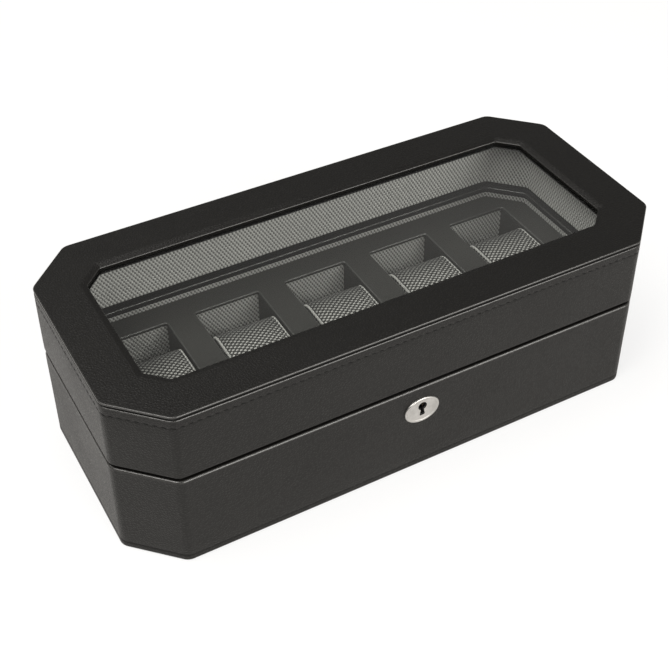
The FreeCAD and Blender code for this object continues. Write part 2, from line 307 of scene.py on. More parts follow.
def new_material(name: str) -> tuple[bpy.types.Material, Nodes]:
    """A material with an empty node tree.

    Args:
        name: The material's name.

    Returns:
        The material and its nodes.
    """
    material = bpy.data.materials.new(name)
    material.use_nodes = True
    return material, Nodes(material.node_tree)


def toned(colour: Colour, share: float) -> Colour:
    """The same colour, darker or paler.

    Args:
        colour: The colour.
        share: What each of its parts is multiplied by.

    Returns:
        The new colour.
    """
    return tuple(share * c for c in colour)


@dataclass(frozen=True)
class Leather:
    """Black leatherette with a fine pebble grain, paler along its edges from abrasion and a painted highlight, and
    darker and duller in its grooves and under its rims from painted shade.
    """

    name: str
    colour: Colour
    rubbed_and_highlit: Colour
    roughness: float
    pebble: float
    relief: float
    cloud: float = 45 * MM
    painted_shade_colour: Colour = (0.001, 0.001, 0.001)
    ior: float = 1.335
    polish: float = 0.9
    polish_roughness: float = 0.18

    def material(self) -> bpy.types.Material:
        """Builds the leather's nodes.

        Returns:
            The material.
        """
        material, nodes = new_material(self.name)
        where = nodes.place()
        crease = nodes.node(
            "ShaderNodeTexVoronoi",
            {"feature": "DISTANCE_TO_EDGE"},
            {"Vector": where, "Scale": 1 / self.pebble, "Randomness": 0.9},
        )
        pebbles = crease.step(0.0, 0.32)
        pores = nodes.noise(where, self.pebble / 4)
        clouds = nodes.noise(where, self.cloud, 3.0)
        rubbed_and_highlit, painted_shade = nodes.wear()
        dyed = nodes.mix(pebbles * 0.7 + clouds * 0.3, toned(self.colour, 0.55), self.colour)
        # Marks above 0 turn the leather paler: abrasion and a painted highlight.
        rubbed_and_highlit_tone = nodes.mix(rubbed_and_highlit * (0.5 + 0.5 * pores), dyed, self.rubbed_and_highlit)
        nodes.surface(
            # Marks below 0 darken towards near black: painted shade in grooves, creases and under rims.
            Base_Color=nodes.mix(painted_shade * 0.9, rubbed_and_highlit_tone, self.painted_shade_colour),
            Roughness=self.roughness + (clouds - 0.5) * 0.16 + (1 - pebbles) * 0.12 - rubbed_and_highlit * 0.14 + painted_shade * 0.4,
            IOR=self.ior,
            Coat_Weight=rubbed_and_highlit * self.polish,
            Coat_Roughness=self.polish_roughness,
            Normal=nodes.bump(pebbles * 0.7 + pores * 0.25 + clouds * 0.6, self.relief),
        )
        return material


@dataclass(frozen=True)
class Weave:
    """Two-tone weave: pale warp over dark weft in small raised cells, which may join into diagonal twill lines."""

    name: str
    pale: Colour
    dark: Colour
    pitch_u: float
    pitch_v: float
    relief: float
    cover: float = 0.0
    twill: float = 0.0
    edge: float = 0.17
    drift: float = 14 * MM
    cloud: float = 30 * MM
    shadow: Colour = (0.004, 0.004, 0.004)

    def material(self) -> bpy.types.Material:
        """Builds the cloth's nodes on the pieces' own cloth coordinates.

        Returns:
            The material.
        """
        material, nodes = new_material(self.name)
        where = nodes.node("ShaderNodeUVMap", {"uv_map": CLOTH_UV})
        drift = nodes.noise(where, self.drift) - 0.5
        u, v = nodes.axis(where, "X"), nodes.axis(where, "Y")
        warp = u * (math.tau / self.pitch_u) + drift * 0.5
        weft = v * (math.tau / self.pitch_v) + drift * 0.5
        rising, falling = (warp - weft).cosine(), (warp + weft).cosine()
        cells = rising * (0.5 + 0.5 * self.twill) + falling * (0.5 - 0.5 * self.twill)
        over = cells.step(-self.edge - self.cover, self.edge - self.cover)
        sewn, shaded = nodes.wear()
        twist = ((u + v) * (math.tau / (self.pitch_u / 6))).cosine()
        lint = nodes.noise(where, self.pitch_u / 5, 3.0)
        clouds = nodes.noise(where, self.cloud)
        pale = nodes.mix(lint * 0.6 + clouds * 0.3, self.pale, toned(self.pale, 0.55))
        woven = nodes.mix(over * (1 - sewn) + sewn, self.dark, pale)
        nodes.surface(
            Base_Color=nodes.mix(shaded * 0.85, woven, self.shadow),
            Roughness=0.72 + lint * 0.2,
            Sheen_Weight=0.08,
            Sheen_Roughness=0.5,
            IOR=1.4,
            Normal=nodes.bump(abs(cells).step(0.0, 0.7) * 0.8 + over * 0.25 + twist * 0.06, self.relief),
        )
        return material


@dataclass(frozen=True)
class Felt:
    """Pressed black felt."""

    name: str
    colour: Colour

    def material(self) -> bpy.types.Material:
        """Builds the felt's nodes.

        Returns:
            The material.
        """
        material, nodes = new_material(self.name)
        where = nodes.place()
        tufts = nodes.noise(where, 1.6 * MM, 5.0)
        clouds = nodes.noise(where, 22 * MM)
        nodes.surface(
            Base_Color=nodes.mix(tufts * 0.7 + clouds * 0.4, self.colour, toned(self.colour, 2.4)),
            Roughness=0.9 + tufts * 0.1,
            Sheen_Weight=0.3,
            Normal=nodes.bump(tufts, 0.4 * MM),
        )
        return material


@dataclass(frozen=True)
class FibreBoard:
    """Raw fibreboard with pressed flecks."""

    name: str
    colour: Colour

    def material(self) -> bpy.types.Material:
        """Builds the board's nodes.

        Returns:
            The material.
        """
        material, nodes = new_material(self.name)
        where = nodes.place()
        flecks = nodes.noise(where, 1.2 * MM, 6.0)
        clouds = nodes.noise(where, 18 * MM)
        dark = flecks.step(0.35, 0.7) * 0.6 + clouds * 0.2
        nodes.surface(
            Base_Color=nodes.mix(dark, self.colour, toned(self.colour, 0.6)),
            Roughness=0.82 + flecks * 0.12,
            Normal=nodes.bump(flecks, 0.08 * MM),
        )
        return material


@dataclass(frozen=True)
class Metal:
    """Plated metal with a fine brushed grain along X and slight handling marks."""

    name: str
    colour: Colour
    roughness: float

    def material(self) -> bpy.types.Material:
        """Builds the metal's nodes.

        Returns:
            The material.
        """
        material, nodes = new_material(self.name)
        where = nodes.place()
        brushed = nodes.noise(where * (0.06, 1.0, 1.0), 0.16 * MM, 3.0)
        marks = nodes.noise(where, 5 * MM, 4.0)
        nodes.surface(
            Base_Color=nodes.mix(marks.step(0.3, 0.75), self.colour, toned(self.colour, 0.8)),
            Metallic=1.0,
            Roughness=self.roughness + (brushed - 0.5) * 0.2 + (marks - 0.5) * 0.12,
            Normal=nodes.bump(brushed, 0.012 * MM),
        )
        return material


@dataclass(frozen=True)
class Glass:
    """Clear window glass that lets the light in, with the gloss of both its faces on the nearer one."""

    name: str
    tint: Colour
    ior: float
    two_faces: float = 1.3
    smear: float = 0.2
    roughness: float = 0.02

    def material(self) -> bpy.types.Material:
        """Builds the glass from a clear and a glossy shader, weighed by the angle.

        Returns:
            The material.
        """
        material, nodes = new_material(self.name)
        smears = nodes.noise(nodes.place(), 60 * MM, 4.0)
        far_face = nodes.node("ShaderNodeNewGeometry", output="Backfacing")
        gloss = nodes.node("ShaderNodeFresnel", {}, {"IOR": self.ior}) * (1 - far_face)
        clear = nodes.node("ShaderNodeBsdfTransparent", {}, {"Color": self.tint})
        mirror = {"Base Color": WHITE, "Metallic": 1.0, "Roughness": self.roughness}
        shine = nodes.node("ShaderNodeBsdfPrincipled", {}, mirror)
        share = gloss * (self.two_faces + smears * self.smear)
        mixed = nodes.node("ShaderNodeMixShader", {}, {0: share, 1: clear, 2: shine})
        nodes.node("ShaderNodeOutputMaterial", {}, {"Surface": mixed})
        return material


@dataclass(frozen=True)
class Thread:
    """Waxed sewing thread with its twist."""

    name: str
    colour: Colour
    twist: float = 2200.0

    def material(self) -> bpy.types.Material:
        """Builds the thread's nodes.

        Returns:
            The material.
        """
        material, nodes = new_material(self.name)
        inputs = {"Vector": nodes.place(), "Scale": self.twist}
        strands = nodes.node("ShaderNodeTexWave", {"bands_direction": "DIAGONAL"}, inputs)
        nodes.surface(
            Base_Color=nodes.mix(strands, toned(self.colour, 0.5), self.colour),
            Roughness=0.62 + strands * 0.2,
            IOR=1.3,
            Normal=nodes.bump(strands, 0.05 * MM),
        )
        return material


@dataclass(frozen=True)
class Finishes:
    """The finishes of the box, each built once."""

    covering: bpy.types.Material
    tray: bpy.types.Material
    lining: bpy.types.Material
    cushion: bpy.types.Material
    felt: bpy.types.Material
    board: bpy.types.Material
    glass: bpy.types.Material
    nickel: bpy.types.Material
    steel: bpy.types.Material
    blackened: bpy.types.Material
    thread: bpy.types.Material

    @classmethod
    def build(cls) -> Finishes:
        """Builds every finish.

        Returns:
            The finishes.
        """
        covering = Leather(
            name="grained_leather",
            colour=(0.0068, 0.0064, 0.0058),
            # Paler colour of abraded edges, which also paints their highlight.
            rubbed_and_highlit=(0.035, 0.034, 0.032),
            roughness=0.37,
            pebble=1.5 * MM,
            relief=0.12 * MM,
        )
        tray = Leather(
            name="smooth_leather",
            colour=(0.048, 0.047, 0.044),
            rubbed_and_highlit=(0.07, 0.069, 0.066),
            roughness=0.46,
            pebble=0.7 * MM,
            relief=0.02 * MM,
        )
        lining = Weave(
            name="lining_weave",
            pale=(0.77, 0.76, 0.735),
            dark=(0.18, 0.177, 0.17),
            pitch_u=2.33 * MM,
            pitch_v=3.7 * MM,
            relief=0.25 * MM,
            cover=0.12,
            twill=0.16,
        )
        cushion = Weave(
            name="cushion_weave",
            pale=(0.665, 0.655, 0.628),
            dark=(0.034, 0.033, 0.031),
            pitch_u=3.7 * MM,
            pitch_v=2.8 * MM,
            relief=0.35 * MM,
            cover=-0.16,
        )
        return cls(
            covering=covering.material(),
            tray=tray.material(),
            lining=lining.material(),
            cushion=cushion.material(),
            felt=Felt("pressed_felt", (0.012, 0.012, 0.013)).material(),
            board=FibreBoard("fibre_board", (0.42, 0.32, 0.22)).material(),
            glass=Glass("window_pane", (0.97, 0.98, 0.975), 1.5).material(),
            nickel=Metal("brushed_nickel", (0.53, 0.52, 0.505), 0.36).material(),
            steel=Metal("zinc_steel", (0.45, 0.45, 0.46), 0.42).material(),
            # Near-black metal used as painted shade on the lock's plates in the seam gap and behind the keyhole.
            blackened=Metal("blackened_steel", (0.02, 0.02, 0.021), 0.6).material(),
            thread=Thread("sewing_thread", (0.006, 0.006, 0.006)).material(),
        )


class Rung(NamedTuple):
    """One step of a covering's profile: how far in, how high, how much abrasion, painted highlight or painted shade it
    has, how much it sways, how round it turns.
    """

    inset: float
    z: float
    wear: float = 0.0
    sway: float = 0.0
    round: float | None = None


def sweep(
    inset: float, z: float, radius: float, start: float, end: float, wear: float = 0.0, steps: int = 5
) -> list[Rung]:
    """Rounded stretch of a profile.

    Args:
        inset: Inset of the arc's middle.
        z: Height of the arc's middle.
        radius: The arc's radius.
        start: Where it starts, in degrees: 0 faces out, 90 up, 180 in and -90 down.
        end: Where it ends.
        wear: How much its middle is abraded and given a painted highlight.
        steps: How many stretches it is cut into.

    Returns:
        The rungs along the arc.
    """
    rungs = []
    for i in range(steps + 1):
        share = i / steps
        turn = math.radians(start + (end - start) * share)
        rubbed_and_highlit = wear * math.sin(math.pi * share)
        rungs.append(Rung(inset - radius * math.cos(turn), z + radius * math.sin(turn), rubbed_and_highlit))
    return rungs


def with_painted_shade(rungs: Iterable[Rung]) -> list[Rung]:
    """The same stretch of a profile, made darker and duller with painted shade."""
    return [rung._replace(wear=-1.0) for rung in rungs]


def run(first: Spot, last: Spot, sway: float = 0.0, pitch: float = 6 * MM) -> list[Rung]:
    """Straight stretch of a profile, cut up so that it can sway.

    Args:
        first: Inset and height that it starts from, left out of the result.
        last: Inset and height that it ends before.
        sway: How far its middle may stand off the straight line.
        pitch: Longest distance between rungs.

    Returns:
        The rungs between the two ends.
    """
    start, end = Vector(first), Vector(last)
    count = max(2, math.ceil((end - start).length / pitch))
    spots = [start.lerp(end, i / count) for i in range(1, count)]
    return [Rung(spot.x, spot.y, 0.0, sway) for spot in spots]


@dataclass(frozen=True)
class Outline:
    """The box seen from above: a rectangle with its four corners cut off, its turns rounded."""

    length: float = 336 * MM
    depth: float = 153.6 * MM
    leg: float = 26.7 * MM
    round: float = 7 * MM
    window_inset: float = 26.6 * MM
    window_round: float = 3 * MM
    pitch: float = 6 * MM
    arc_steps: int = 6

    def corners(self, inset: float) -> list[Vector]:
        """Corners moved inwards.

        Args:
            inset: How far in.

        Returns:
            Eight corners, counter-clockwise from the front left.
        """
        x = self.length / 2 - inset
        y = self.depth / 2 - inset
        leg = self.leg - inset * (2 - math.sqrt(2))
        right = [Vector((x - leg, -y)), Vector((x, leg - y)), Vector((x, y - leg)), Vector((x - leg, y))]
        left = [Vector((-spot.x, spot.y)) for spot in reversed(right)]
        return [left[3], *right, *left[:3]]

    def loop(self, inset: float, turn_round: float | None = None) -> list[Vector]:
        """Points round the outline, in the same number at every inset.

        Args:
            inset: How far in.
            turn_round: Rounding of its turns, None for the usual one there.

        Returns:
            The points, counter-clockwise.
        """
        share = min(inset / self.window_inset, 1.0)
        usual = self.round + (self.window_round - self.round) * share
        radius = usual if turn_round is None else turn_round
        corners = self.corners(inset)
        arcs = []
        for i, corner in enumerate(corners):
            last = (corners[i - 1] - corner).normalized()
            following = (corners[(i + 1) % len(corners)] - corner).normalized()
            half = (math.pi - last.angle(following)) / 2
            middle = corner + (last + following).normalized() * (radius / math.cos(half))
            start = corner + last * (radius * math.tan(half)) - middle
            turns = [Matrix.Rotation(2 * half * k / self.arc_steps, 2) for k in range(self.arc_steps + 1)]
            arcs.append([middle + turn @ start for turn in turns])
        full = self.corners(0.0)
        points: list[Vector] = []
        for i, arc in enumerate(arcs):
            following = arcs[(i + 1) % len(arcs)][0]
            side = (full[(i + 1) % len(full)] - full[i]).length
            count = max(2, round(side / self.pitch))
            points += arc
            points += [arc[-1].lerp(following, k / count) for k in range(1, count)]
        return points


def sides(path: Sequence[Vector]) -> list[float]:
    """Lengths of a closed path's sides, in order."""
    return [(path[(i + 1) % len(path)] - spot).length for i, spot in enumerate(path)]


def paces(path: Sequence[Vector], goals: Iterable[float]) -> Iterator[tuple[Vector, Vector, float]]:
    """Walks along a closed path.

    Args:
        path: The path's points.
        goals: Distances from its first point, in rising order.

    Yields:
        For each goal, both ends of the side that it lies on, and its share of the way between them.
    """
    lengths = sides(path)
    place, passed = 0, 0.0
    for goal in goals:
        while passed + lengths[place] < goal:
            passed += lengths[place]
            place += 1
        yield path[place], path[(place + 1) % len(path)], (goal - passed) / lengths[place]


def circle(count: int) -> list[float]:
    """Angles in radians, evenly spaced round a circle."""
    return [math.tau * k / count for k in range(count)]


def smooth(mesh: bpy.types.Mesh) -> bpy.types.Mesh:
    """Smooth shading that keeps the sharp edges.

    Args:
        mesh: The mesh to shade.

    Returns:
        The same mesh.
    """
    mesh.shade_smooth()
    mesh.set_sharp_from_angle(angle=SHARP_ANGLE)
    return mesh


def to_mesh(name: str, build: bmesh.types.BMesh) -> bpy.types.Mesh:
    """Closes a mesh build.

    Args:
        name: The mesh's name.
        build: The build, which is freed.

    Returns:
        The finished mesh.
    """
    bmesh.ops.recalc_face_normals(build, faces=build.faces)
    mesh = bpy.data.meshes.new(name)
    build.to_mesh(mesh)
    build.free()
    return smooth(mesh)


def ring_with_wear_and_light(
    build: bmesh.types.BMesh, wear_and_light_layer: bmesh.types.BMLayerItem, loop: Iterable[Vector], rung: Rung
) -> list[bmesh.types.BMVert]:
    """Ring of points at one rung of a profile.

    Args:
        build: The mesh build.
        wear_and_light_layer: The build's layer of abrasion, sewn hems, painted highlight and painted shade.
        loop: Where the points are, seen from above.
        rung: The rung, which gives their height and their marks of abrasion, painted highlight or painted shade.

    Returns:
        The points.
    """
    ring = [build.verts.new((spot.x, spot.y, rung.z)) for spot in loop]
    for vert in ring:
        vert[wear_and_light_layer] = rung.wear
    return ring


def bridge(build: bmesh.types.BMesh, rings: Sequence[Sequence[bmesh.types.BMVert]]) -> None:
    """Joins each closed ring of points to the next.

    Args:
        build: The mesh build.
        rings: The rings, all with the same number of points.
    """
    for ring, following in zip(rings, rings[1:]):
        for j, vert in enumerate(ring):
            k = (j + 1) % len(ring)
            build.faces.new((vert, ring[k], following[k], following[j]))


def loft(name: str, outline: Outline, profile: Sequence[Rung], ripple: float = 38 * MM) -> bpy.types.Mesh:
    """Closed covering: a closed profile carried round the outline, with cloth coordinates in metres.

    Args:
        name: The mesh's name.
        outline: The outline that it follows.
        profile: The closed profile, in order.
        ripple: Size of the waves that its sway makes.

    Returns:
        The covering.
    """
    build = bmesh.new()
    cloth = build.loops.layers.uv.new(CLOTH_UV)
    wear_and_light_layer = build.verts.layers.float.new(WEAR_AND_PAINTED_LIGHT)
    rings = [ring_with_wear_and_light(build, wear_and_light_layer, outline.loop(rung.inset, rung.round), rung) for rung in profile]
    middle = outline.loop(sum(rung.inset for rung in profile) / len(profile))
    around = [0.0, *accumulate(sides(middle))]
    steps = zip(profile, [*profile[1:], profile[0]])
    along = [0.0, *accumulate(math.hypot(b.inset - a.inset, b.z - a.z) for a, b in steps)]
    for i, ring in enumerate(rings):
        upper = rings[(i + 1) % len(rings)]
        for j, vert in enumerate(ring):
            k = (j + 1) % len(ring)
            face = build.faces.new((vert, ring[k], upper[k], upper[j]))
            spots = ((j, i), (j + 1, i), (j + 1, i + 1), (j, i + 1))
            for corner, (u, v) in zip(face.loops, spots):
                corner[cloth].uv = (around[u], along[v])
    bmesh.ops.recalc_face_normals(build, faces=build.faces)
    build.normal_update()
    for rung, ring in zip(profile, rings):
        if rung.sway:
            for vert in ring:
                vert.co += vert.normal * (rung.sway * noise.noise(vert.co / ripple))
    return to_mesh(name, build)


def boards(name: str, boxes: Iterable[Box], radius: float) -> bpy.types.Mesh:
    """Boards with rounded edges, with cloth coordinates in metres on each face.

    Args:
        name: The mesh's name.
        boxes: Lowest and highest corner of each board.
        radius: Rounding of the edges.

    Returns:
        One mesh of all the boards.
    """
    build = bmesh.new()
    for low, high in boxes:
        size = Vector(high) - Vector(low)
        middle = (Vector(high) + Vector(low)) / 2
        place = Matrix.Translation(middle) @ Matrix.Diagonal((*size, 1.0))
        made = bmesh.ops.create_cube(build, size=1.0, matrix=place)
        edges = {edge for vert in made["verts"] for edge in vert.link_edges}
        bmesh.ops.bevel(build, geom=list(edges), offset=radius, segments=3, profile=0.5, affect="EDGES")
    cloth = build.loops.layers.uv.new(CLOTH_UV)
    build.normal_update()
    for face in build.faces:
        steep = [abs(c) for c in face.normal]
        axis = steep.index(max(steep))
        across, up = ((1, 2), (0, 2), (0, 1))[axis]
        for corner in face.loops:
            corner[cloth].uv = (-corner.vert.co[across], corner.vert.co[up])
    return to_mesh(name, build)


def cut(mesh: bpy.types.Mesh, *cutters: bpy.types.Mesh) -> bpy.types.Mesh:
    """Cuts closed meshes out of another, one after the other.

    Args:
        mesh: The mesh that loses material.
        cutters: The meshes that are taken away, and deleted.

    Returns:
        The cut mesh.
    """
    scene = bpy.context.scene
    for cutter in cutters:
        piece = bpy.data.objects.new("cut_piece", mesh)
        tool = bpy.data.objects.new("cut_tool", cutter)
        for obj in (piece, tool):
            scene.collection.objects.link(obj)
        modifier = piece.modifiers.new("cut", "BOOLEAN")
        modifier.operation = "DIFFERENCE"
        modifier.solver = "EXACT"
        modifier.object = tool
        shown = piece.evaluated_get(bpy.context.evaluated_depsgraph_get())
        result = bpy.data.meshes.new_from_object(shown)
        result.name = mesh.name
        for obj in (piece, tool):
            bpy.data.objects.remove(obj)
        for used in (mesh, cutter):
            bpy.data.meshes.remove(used)
        mesh = smooth(result)
    return mesh


def extruded(name: str, outline: Sequence[Spot], start: float, end: float) -> bpy.types.Mesh:
    """Outline in X and Z, drawn out along Y.

    Args:
        name: The mesh's name.
        outline: Points of the outline.
        start: Where it starts along Y.
        end: Where it ends along Y.

    Returns:
        The closed mesh.
    """
    build = bmesh.new()
    near = [build.verts.new((x, start, z)) for x, z in outline]
    far = [build.verts.new((x, end, z)) for x, z in outline]
    build.faces.new(near)
    build.faces.new(far)
    for i in range(len(outline)):
        k = (i + 1) % len(outline)
        build.faces.new((near[i], near[k], far[k], far[i]))
    return to_mesh(name, build)


def add_piece(
    name: str, mesh: bpy.types.Mesh, material: bpy.types.Material, body: str, slot: Slot, *nodes: str
) -> bpy.types.Object:
    """Puts a dressed piece in the scene.

    Args:
        name: The piece's name.
        mesh: Its mesh, in place.
        material: Its finish.
        body: The body that it moves with.
        slot: The record's slot of its finish; not used.
        nodes: The solids that it stands for.

    Returns:
        The piece.
    """
    piece = bpy.data.objects.new(name, mesh)
    bpy.context.scene.collection.objects.link(piece)
    mesh.materials.clear()
    mesh.materials.append(material)
    flats = piece.modifiers.new("flat_faces", "WEIGHTED_NORMAL")
    flats.keep_sharp = True
    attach(piece, body)
    if nodes:
        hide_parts(*nodes)
    LOG.info("%s on %s: %d faces", name, body, len(mesh.polygons))
    return piece


def dress_solid(solid: bpy.types.Object, material: bpy.types.Material, softened: float = 0.0) -> None:
    """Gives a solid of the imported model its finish.

    Args:
        solid: The solid.
        material: Its finish.
        softened: Width that its edges are broken by, 0 for none.
    """
    solid.data.materials.clear()
    solid.data.materials.append(material)
    if softened:
        solid.modifiers.new("joined", "WELD").merge_threshold = CRISP
        edges = solid.modifiers.new("broken_edges", "BEVEL")
        edges.width = softened
        edges.segments = 2
        edges.limit_method = "ANGLE"
        edges.angle_limit = BROKEN_ANGLE
        edges.harden_normals = True
    LOG.info("%s keeps its solid", solid.name)


@dataclass
class BaseBox:
    """The base: board walls in leatherette, a woven lining and a felt pad underneath."""

    outline: Outline
    leather: float = 1 * MM
    bottom: float = 0.4 * MM
    rim: float = 60.6 * MM
    rim_round: float = 1.4 * MM
    rim_width: float = 13.8 * MM
    rim_inner_round: float = 0.9 * MM
    turned: float = 0.25 * MM
    turn_in: float = 3.7 * MM
    turn_edge: float = 0.7 * MM
    turn_under: float = 10 * MM
    glue: float = 0.02 * MM
    hem: float = 4.8 * MM
    hem_depth: float = 0.35 * MM
    hem_half: float = 0.8 * MM
    lining: float = 2 * MM
    strip_shade: float = 0.35
    strip_shade_depth: float = 13 * MM
    strip_shade_fade: float = 2 * MM
    pad_inset: float = 10.5 * MM
    pad_top: float = 1.4 * MM
    pad_edge: tuple[Spot, ...] = ((0.5 * MM, 0.0), (0.1 * MM, 0.2 * MM), (0.0, 0.6 * MM))
    panel_top: float = 7.4 * MM
    sway: float = 0.22 * MM
    boards: tuple[str, ...] = (
        "base_bottom_panel",
        "base_front_wall",
        "base_back_wall",
        "base_left_wall",
        "base_right_wall",
        "base_corner_walls",
    )

    def wrap(self, cutters: Iterable[bpy.types.Mesh]) -> bpy.types.Mesh:
        """Leather over the outside and the rim, turned under.

        Args:
            cutters: What the lock and the hinges take out of it.

        Returns:
            The covering.
        """
        r, low, high = self.rim_round, self.bottom + self.rim_round, self.rim - self.rim_round
        edge = self.rim_inner_round
        board = self.rim - self.leather
        inside, glued, end = self.rim_width + self.turned, self.rim_width + self.glue, self.rim - self.turn_in
        below, above = self.hem - self.hem_half, self.hem + self.hem_half
        profile = [
            Rung(self.turn_under, self.bottom),
            # The rolled edges below are made paler: abrasion and a painted highlight.
            *sweep(r, low, r, -90, 0, 0.6),
            Rung(0.0, below),
            Rung(self.hem_depth, self.hem),
            Rung(0.0, above),
            *run((0.0, above), (0.0, high), self.sway),
            *sweep(r, high, r, 0, 90, 1.0),
            *run((r, self.rim), (inside - edge, self.rim)),
            *sweep(inside - edge, self.rim - edge, edge, 90, 180, 1.0),
            Rung(inside, end + self.turn_edge),
            # Painted shade on the turned-in end below the rim's inner edge.
            *with_painted_shade([Rung(inside - 0.05 * MM, end + 0.1 * MM), Rung(glued, end)]),
            Rung(glued, board),
            Rung(self.leather, board),
            Rung(self.leather, self.pad_top),
            Rung(self.turn_under, self.pad_top),
        ]
        return cut(loft("base_wrap", self.outline, profile), *cutters)

    def lining_ring(self) -> bpy.types.Mesh:
        """Woven lining board round the inside, with painted shade on its strip between the tray and the rim.

        Returns:
            The lining.
        """
        inner, outer, top = self.rim_width, self.rim_width - self.lining, self.rim - self.leather
        unshaded_top = self.rim - self.strip_shade_depth
        profile = [
            Rung(outer, self.panel_top),
            Rung(inner, self.panel_top),
            *run((inner, self.panel_top), (inner, unshaded_top)),
            Rung(inner, unshaded_top),
            # Painted shade on the strip between the tray and the rim.
            Rung(inner, unshaded_top + self.strip_shade_fade, -self.strip_shade),
            Rung(inner, top, -self.strip_shade),
            Rung(outer, top),
        ]
        return loft("base_lining_cloth", self.outline, profile)

    def pad(self) -> bpy.types.Mesh:
        """Felt pad under the base.

        Returns:
            The pad.
        """
        build = bmesh.new()
        rings = []
        for inset, z in (*self.pad_edge, (0.0, self.pad_top)):
            rings.append([build.verts.new((p.x, p.y, z)) for p in self.outline.loop(self.pad_inset + inset)])
        bridge(build, rings)
        build.faces.new(rings[0])
        build.faces.new(rings[-1])
        return to_mesh("felt_pad", build)

    def build(self, frame: Mapping[str, Any], finishes: Finishes, cutters: Iterable[bpy.types.Mesh]) -> None:
        """Adds the base's pieces.

        Args:
            frame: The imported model.
            finishes: The finishes.
            cutters: What the lock and the hinges take out of the covering.
        """
        body = Body.BASE.value
        add_piece("base_covering", self.wrap(cutters), finishes.covering, body, Slot.BLACK_LEATHER, "base_leather_wrap")
        add_piece("base_inner_lining", self.lining_ring(), finishes.lining, body, Slot.WOVEN_LINING, "base_lining")
        add_piece("base_felt_pad", self.pad(), finishes.felt, body, Slot.UNDERSIDE_FELT, "base_underside_pad")
        for node in self.boards:
            dress_solid(frame["nodes"][node], finishes.board)


